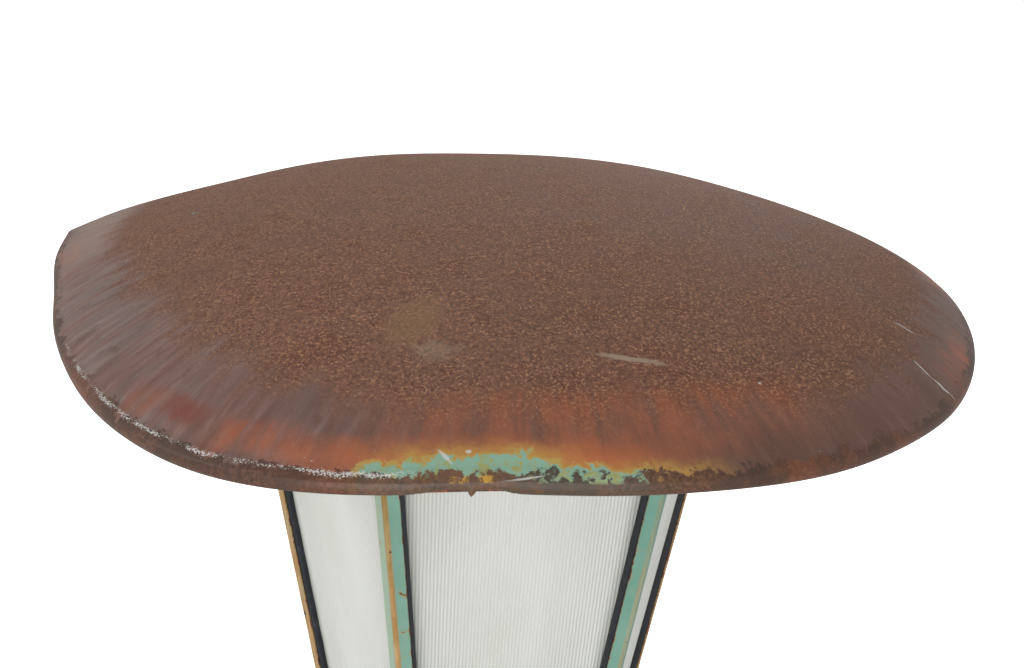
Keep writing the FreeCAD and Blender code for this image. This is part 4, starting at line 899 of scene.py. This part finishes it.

# %% [markdown]
# ## The glass itself
# The panes look white rather than clear, so light is scattered in them and little passes straight through.
# What tells them from paint is painted shade: a dark band beside the gasket, and painted dark reflections in
# the grooves, stronger towards the sides. A plain shader with a little transmission keeps that readable,
# where clear glass would need a room to reflect.


# %% Glass finish
def glass_finish():
    """White glass with painted shade by distance from the sloping side, and painted dark reflections by depth
    in the groove.
    """
    material, tree, shader = new_material("opal_reeded_glass")
    place = tree.nodes.new("ShaderNodeTexCoord")
    flat = place.outputs["Object"]
    dust = noise(tree, stretched(tree, flat, (1.0, 1.0, 0.35)), 9.0, 5.0, 0.6)
    colour = mix(tree, between(tree, dust, 0.35, 0.7), screen(240, 242, 236), screen(230, 232, 224))
    # Painted shade darkens the last few millimetres beside the gasket.
    side = add(tree, "ShaderNodeSeparateXYZ", Vector=place.outputs["UV"]).outputs[0]
    gasket_shade = product(tree, between(tree, side, 0.016, 0.003), 0.42)
    colour = mix(tree, gasket_shade, colour, screen(92, 96, 88))
    # Painted dark reflections lie in the grooves, stronger towards the sides.
    groove = add(tree, "ShaderNodeAttribute", {"attribute_name": "groove"}).outputs["Fac"]
    groove_reflection = product(tree, groove, between(tree, side, 0.085, 0.015, 0.0, 0.34))
    colour = mix(tree, groove_reflection, colour, screen(112, 114, 106))
    tree.links.new(colour, shader.inputs["Base Color"])
    tree.links.new(between(tree, dust, 0.2, 0.8, 0.10, 0.22), shader.inputs["Roughness"])
    shader.inputs["Transmission Weight"].default_value = 0.15
    shader.inputs["IOR"].default_value = 1.45
    bump(tree, shader, noise(tree, flat, 60.0, 2.0, 0.5), 0.12, 0.0006)
    return material


glass = glass_finish()
for pane in panes:
    pane.data.materials.append(glass)
print("glass:", len(glass.node_tree.nodes), "nodes on", len(panes), "panes")

# %% [markdown]
# ## Rubber gaskets
# A black channel of rubber grips each pane and shows as a dark line inside the flange. It is a rounded
# section carried round the tapered opening, so each of its four sides keeps the same width.

# %% Gasket shape
def face_ring(name, face, section, low, high, body="lantern"):
    """A section carried round a face's trapezoid; low and high are its offsets from bottom and top."""
    loops = []
    for (side, depth), rise, drop in zip(section, low, high):
        bottom, top = BAND_ALONG + rise, FACE_LENGTH - BAND_ALONG - drop
        a, b = half_side(bottom) - side, half_side(top) - side
        loops.append([[-a, bottom, -depth], [a, bottom, -depth], [b, top, -depth], [-b, top, -depth]])
    points = on_face(face, np.array(loops).reshape(-1, 3))
    ring = put_mesh(name, points, grid_quads(len(loops), 4, True, True), body=body, sharp=35)
    return face_outwards(ring)


def gasket_section(outer, inner, front, back, nose=0.0022):
    """Outline from the outer side round the rounded front nose to the back, as (inset, depth)."""
    turn = np.linspace(0, np.pi / 2, 6)
    rounded = np.stack([inner - nose + nose * np.sin(turn), front + nose - nose * np.cos(turn)], -1)
    return np.concatenate([[[outer, back], [outer, front]], rounded, [[inner, back]]])


gaskets = []
for face in FIXED:
    outer, inner = web_inset(GLASS_FRONT) + 0.003, 0.018
    section = gasket_section(outer, inner, 0.0019, GLASS_FRONT)
    share = (section[:, 0] - outer) / (inner - outer)
    ring = face_ring(f"gasket_{face + 1}", face, section, 0.004 * share + 0.0002, 0.0012 + 0.004 * share)
    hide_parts(f"pane_gasket_{face + 1}")
    gaskets.append(ring)
PLATE_INNER = 0.024
section = gasket_section(DOOR_SEAT, PLATE_INNER + 0.004, -0.0005, 0.005, 0.002)
door_offsets = section[:, 0] - 0.014
ring = face_ring("gasket_door", 3, section, door_offsets, door_offsets, body="door")
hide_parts("door_gasket")
gaskets.append(ring)
print("gaskets:", len(gaskets), "of", len(ring.data.polygons), "faces")

# %% [markdown]
# ## Old rubber
# Rubber that has stood outdoors is not quite black: it has a dull grey bloom in clouds, and a fine texture.
# One noise lightens the colour and dulls the shine together, as the bloom does.


# %% Rubber finish
def rubber_finish():
    """Black rubber with a cloudy grey bloom that is rougher where it is lighter."""
    material, tree, shader = new_material("aged_black_rubber")
    flat = tree.nodes.new("ShaderNodeTexCoord").outputs["Object"]
    bloom = noise(tree, flat, 40.0, 5.0, 0.65)
    colour = mix(tree, between(tree, bloom, 0.5, 0.75), screen(26, 29, 36), screen(52, 55, 60))
    tree.links.new(colour, shader.inputs["Base Color"])
    tree.links.new(between(tree, bloom, 0.2, 0.8, 0.42, 0.7), shader.inputs["Roughness"])
    bump(tree, shader, noise(tree, flat, 500.0, 2.0, 0.6), 0.3, 0.0003)
    return material


rubber = rubber_finish()
for ring in gaskets:
    ring.data.materials.append(rubber)
print("rubber:", len(rubber.node_tree.nodes), "nodes")

# %% [markdown]
# ## Finishes for the pieces carried over
# The rest of the steelwork keeps its CAD shape. Each gets the finish its real counterpart has: primed and
# rusting steel under the roof, zinc on the fasteners, white enamel on the reflector, porcelain and brass at
# the lamp. Three functions with a few values each do for all of them, so that like metals stay alike.


# %% Finish makers
def steel_finish(name, light, dark, metallic, rust_amount, low, high):
    """Plated or primed steel with rust coming through in patches."""
    material, tree, shader = new_material(name)
    flat = tree.nodes.new("ShaderNodeTexCoord").outputs["Object"]
    cloudy = noise(tree, flat, 45.0, 5.0, 0.6)
    colour = mix(tree, between(tree, cloudy, 0.35, 0.65), light, dark)
    rust = use(tree, rust_group, Vector=flat, Fresh=0.7)
    chips = use(tree, chip_group, Vector=flat, Scale=110.0, Amount=rust_amount, Edge=0.2)
    colour = mix(tree, chips.outputs["Halo"], colour, mix(tree, 0.6, colour, screen(120, 80, 54)))
    colour = mix(tree, chips.outputs["Bare"], colour, rust.outputs["Color"])
    tree.links.new(colour, shader.inputs["Base Color"])
    clean = math_node(tree, "SUBTRACT", 1.0, chips.outputs["Bare"])
    if metallic:
        tree.links.new(product(tree, clean, metallic), shader.inputs["Metallic"])
    tree.links.new(between(tree, cloudy, 0.2, 0.8, low, high), shader.inputs["Roughness"])
    bump(tree, shader, math_node(tree, "ADD", rust.outputs["Height"], cloudy), 0.35, 0.0004)
    return material


def glazed_finish(name, colour_a, colour_b, rough, metallic=0.0):
    """Enamel, porcelain or brass: an even ground with slow clouding and fine dust."""
    material, tree, shader = new_material(name)
    flat = tree.nodes.new("ShaderNodeTexCoord").outputs["Object"]
    cloudy = noise(tree, flat, 16.0, 5.0, 0.6)
    dust = noise(tree, flat, 210.0, 4.0, 0.7)
    colour = mix(tree, between(tree, cloudy, 0.35, 0.7), colour_a, colour_b)
    colour = mix(tree, product(tree, between(tree, dust, 0.6, 0.75), 0.35), colour, screen(120, 104, 88))
    tree.links.new(colour, shader.inputs["Base Color"])
    tree.links.new(between(tree, cloudy, 0.2, 0.8, rough, rough + 0.2), shader.inputs["Roughness"])
    shader.inputs["Metallic"].default_value = metallic
    bump(tree, shader, dust, 0.15, 0.0003)
    return material


def bulb_finish():
    """Frosted glass: a fine noise in the colour and the roughness, and light let half through."""
    material, tree, shader = new_material("frosted_bulb_glass")
    flat = tree.nodes.new("ShaderNodeTexCoord").outputs["Object"]
    frost = noise(tree, flat, 300.0, 3.0, 0.6)
    colour = mix(tree, frost, screen(240, 238, 228), screen(222, 220, 210))
    tree.links.new(colour, shader.inputs["Base Color"])
    tree.links.new(between(tree, frost, 0.2, 0.8, 0.35, 0.55), shader.inputs["Roughness"])
    shader.inputs["Transmission Weight"].default_value = 0.45
    return material


print("finish makers: steel, glazed, bulb")

# %% [markdown]
# ## One finish to each material
# The record gives every CAD piece a material. A table from that name to a finish dresses them all in one
# loop, and skips the pieces that already have a surface of their own.

# %% Other finishes
PRIMER, OLD_PRIMER = screen(96, 62, 52), screen(74, 50, 44)
ZINC, DULL_ZINC = screen(150, 146, 140), screen(112, 106, 100)
finishes = {
    "green_painted_steel": frame_paint,
    "black_rubber": rubber,
    "reeded_glass": glass,
    "primed_steel": steel_finish("primed_steel", PRIMER, OLD_PRIMER, 0.0, 0.7, 0.55, 0.85),
    "fastener_steel": steel_finish("dull_zinc", ZINC, DULL_ZINC, 0.85, 0.55, 0.35, 0.6),
    "white_enamel": glazed_finish("white_enamel", screen(232, 230, 222), screen(214, 210, 198), 0.2),
    "porcelain": glazed_finish("porcelain", screen(236, 232, 222), screen(222, 216, 202), 0.12),
    "brass": glazed_finish("dull_brass", screen(186, 148, 84), screen(140, 104, 56), 0.3, 1.0),
    "bulb_glass": bulb_finish(),
}
slot_of = {row["node"]: row["material_slot"] for row in frame["record"]["subparts"]}
for node, thing in frame["nodes"].items():
    finish = finishes.get(slot_of[node])
    if finish is None or thing.hide_render:
        continue
    thing.data.materials.clear()
    thing.data.materials.append(finish)
for thing in (wire, ribs):
    thing.data.materials.append(finishes["primed_steel"])
print("finishes:", len(finishes), "for the pieces carried over")

# %% [markdown]
# ## Floor
# A pale floor stands in for a plain studio. It shines white to the camera only, so that it looks endless
# without lighting the lantern from below.

# %% Floor
floor_half = 7.0
floor_mesh = bpy.data.meshes.new("floor")
corners = [(-floor_half, -floor_half, 0), (floor_half, -floor_half, 0), (floor_half, floor_half, 0),
           (-floor_half, floor_half, 0)]
floor_mesh.from_pydata(corners, [], [[0, 1, 2, 3]])
floor = bpy.data.objects.new("floor", floor_mesh)
bpy.context.scene.collection.objects.link(floor)
material, tree, shader = new_material("pale_floor")
shader.inputs["Base Color"].default_value = (0.80, 0.80, 0.79, 1)
shader.inputs["Roughness"].default_value = 0.9
shader.inputs["Emission Color"].default_value = (1, 1, 1, 1)
tree.links.new(add(tree, "ShaderNodeLightPath").outputs["Is Camera Ray"], shader.inputs["Emission Strength"])
floor.data.materials.append(material)
print("floor:", 2 * floor_half, "m across")

# %% [markdown]
# ## Light
# An overcast sky is soft and comes from everywhere, so most of the light is the world's, at half strength for
# all but the camera. Three broad lights, behind, left and low in front, shape the dome and lift the glass.

# %% Light
world = bpy.data.worlds.new("studio")
world.use_nodes = True
tree = world.node_tree
glow = tree.nodes["Background"]
glow.inputs[0].default_value = (1, 1, 1, 1)
seen = tree.nodes.new("ShaderNodeLightPath").outputs["Is Camera Ray"]
tree.links.new(add(tree, "ShaderNodeMapRange", i0=seen, i3=0.55, i4=1.05).outputs[0], glow.inputs[1])
bpy.context.scene.world = world


def soft_light(name, place, target, size, power):
    """A round light at a place, turned to face its target; size in metres and power in watts."""
    data = bpy.data.lights.new(name, "AREA")
    data.shape = "DISK"
    data.size = size
    data.energy = power
    lamp = bpy.data.objects.new(name, data)
    lamp.location = place
    lamp.rotation_euler = (Vector(target) - Vector(place)).to_track_quat("-Z", "Y").to_euler()
    bpy.context.scene.collection.objects.link(lamp)


soft_light("back_softbox", (1.4, 2.6, 2.4), (0, 0, 0.9), 2.0, 30)
soft_light("left_softbox", (-2.6, -0.8, 2.2), (0, 0, 0.9), 1.6, 18)
soft_light("front_softbox", (-0.6, -3.6, 0.5), (0, 0, 0.6), 2.4, 62)
print("lights:", len(bpy.data.lights))

# %% [markdown]
# ## Camera
# The eye stands above the roof's edge, close enough for the roof to look broad. It is given as angles, since
# they say more than three vectors do: how far round the lantern it stands and how far up, its distance from
# a point on the axis, and then how it is panned, tilted and rolled away from that point.

# %% Camera
# Angles in radians, lengths in metres.
AROUND, UP, PAN, TIP, ROLL = 0.1470, 0.3772, 0.0140, -0.0020, 0.0508
TARGET, DISTANCE = Vector((0, 0, 0.8529)), 0.97158

towards = Vector((0, math.cos(UP), -math.sin(UP)))
right = Vector((1, 0, 0))
over = right.cross(towards)
aim = towards * math.cos(PAN) * math.cos(TIP) + right * math.sin(PAN) * math.cos(TIP)
aim -= over * math.sin(TIP)
level_right = aim.cross(Vector((0, 0, 1))).normalized()
upright = level_right.cross(aim) * math.cos(ROLL) - level_right * math.sin(ROLL)
across = aim.cross(upright).normalized()
turned = Matrix((across, across.cross(aim).normalized(), -aim)).transposed().to_4x4()
data = bpy.data.cameras.new("camera")
data.sensor_width = 36.0
data.lens = 33.54
data.clip_start, data.clip_end = 0.02, 60
camera = bpy.data.objects.new("camera", data)
camera.matrix_world = (Matrix.Rotation(-AROUND, 4, "Z") @ Matrix.Translation(TARGET - DISTANCE * towards)
                       @ turned)
bpy.context.scene.collection.objects.link(camera)
bpy.context.scene.camera = camera
bpy.context.scene.view_settings.view_transform = "Standard"
print("camera at", [round(value, 4) for value in camera.matrix_world.translation])
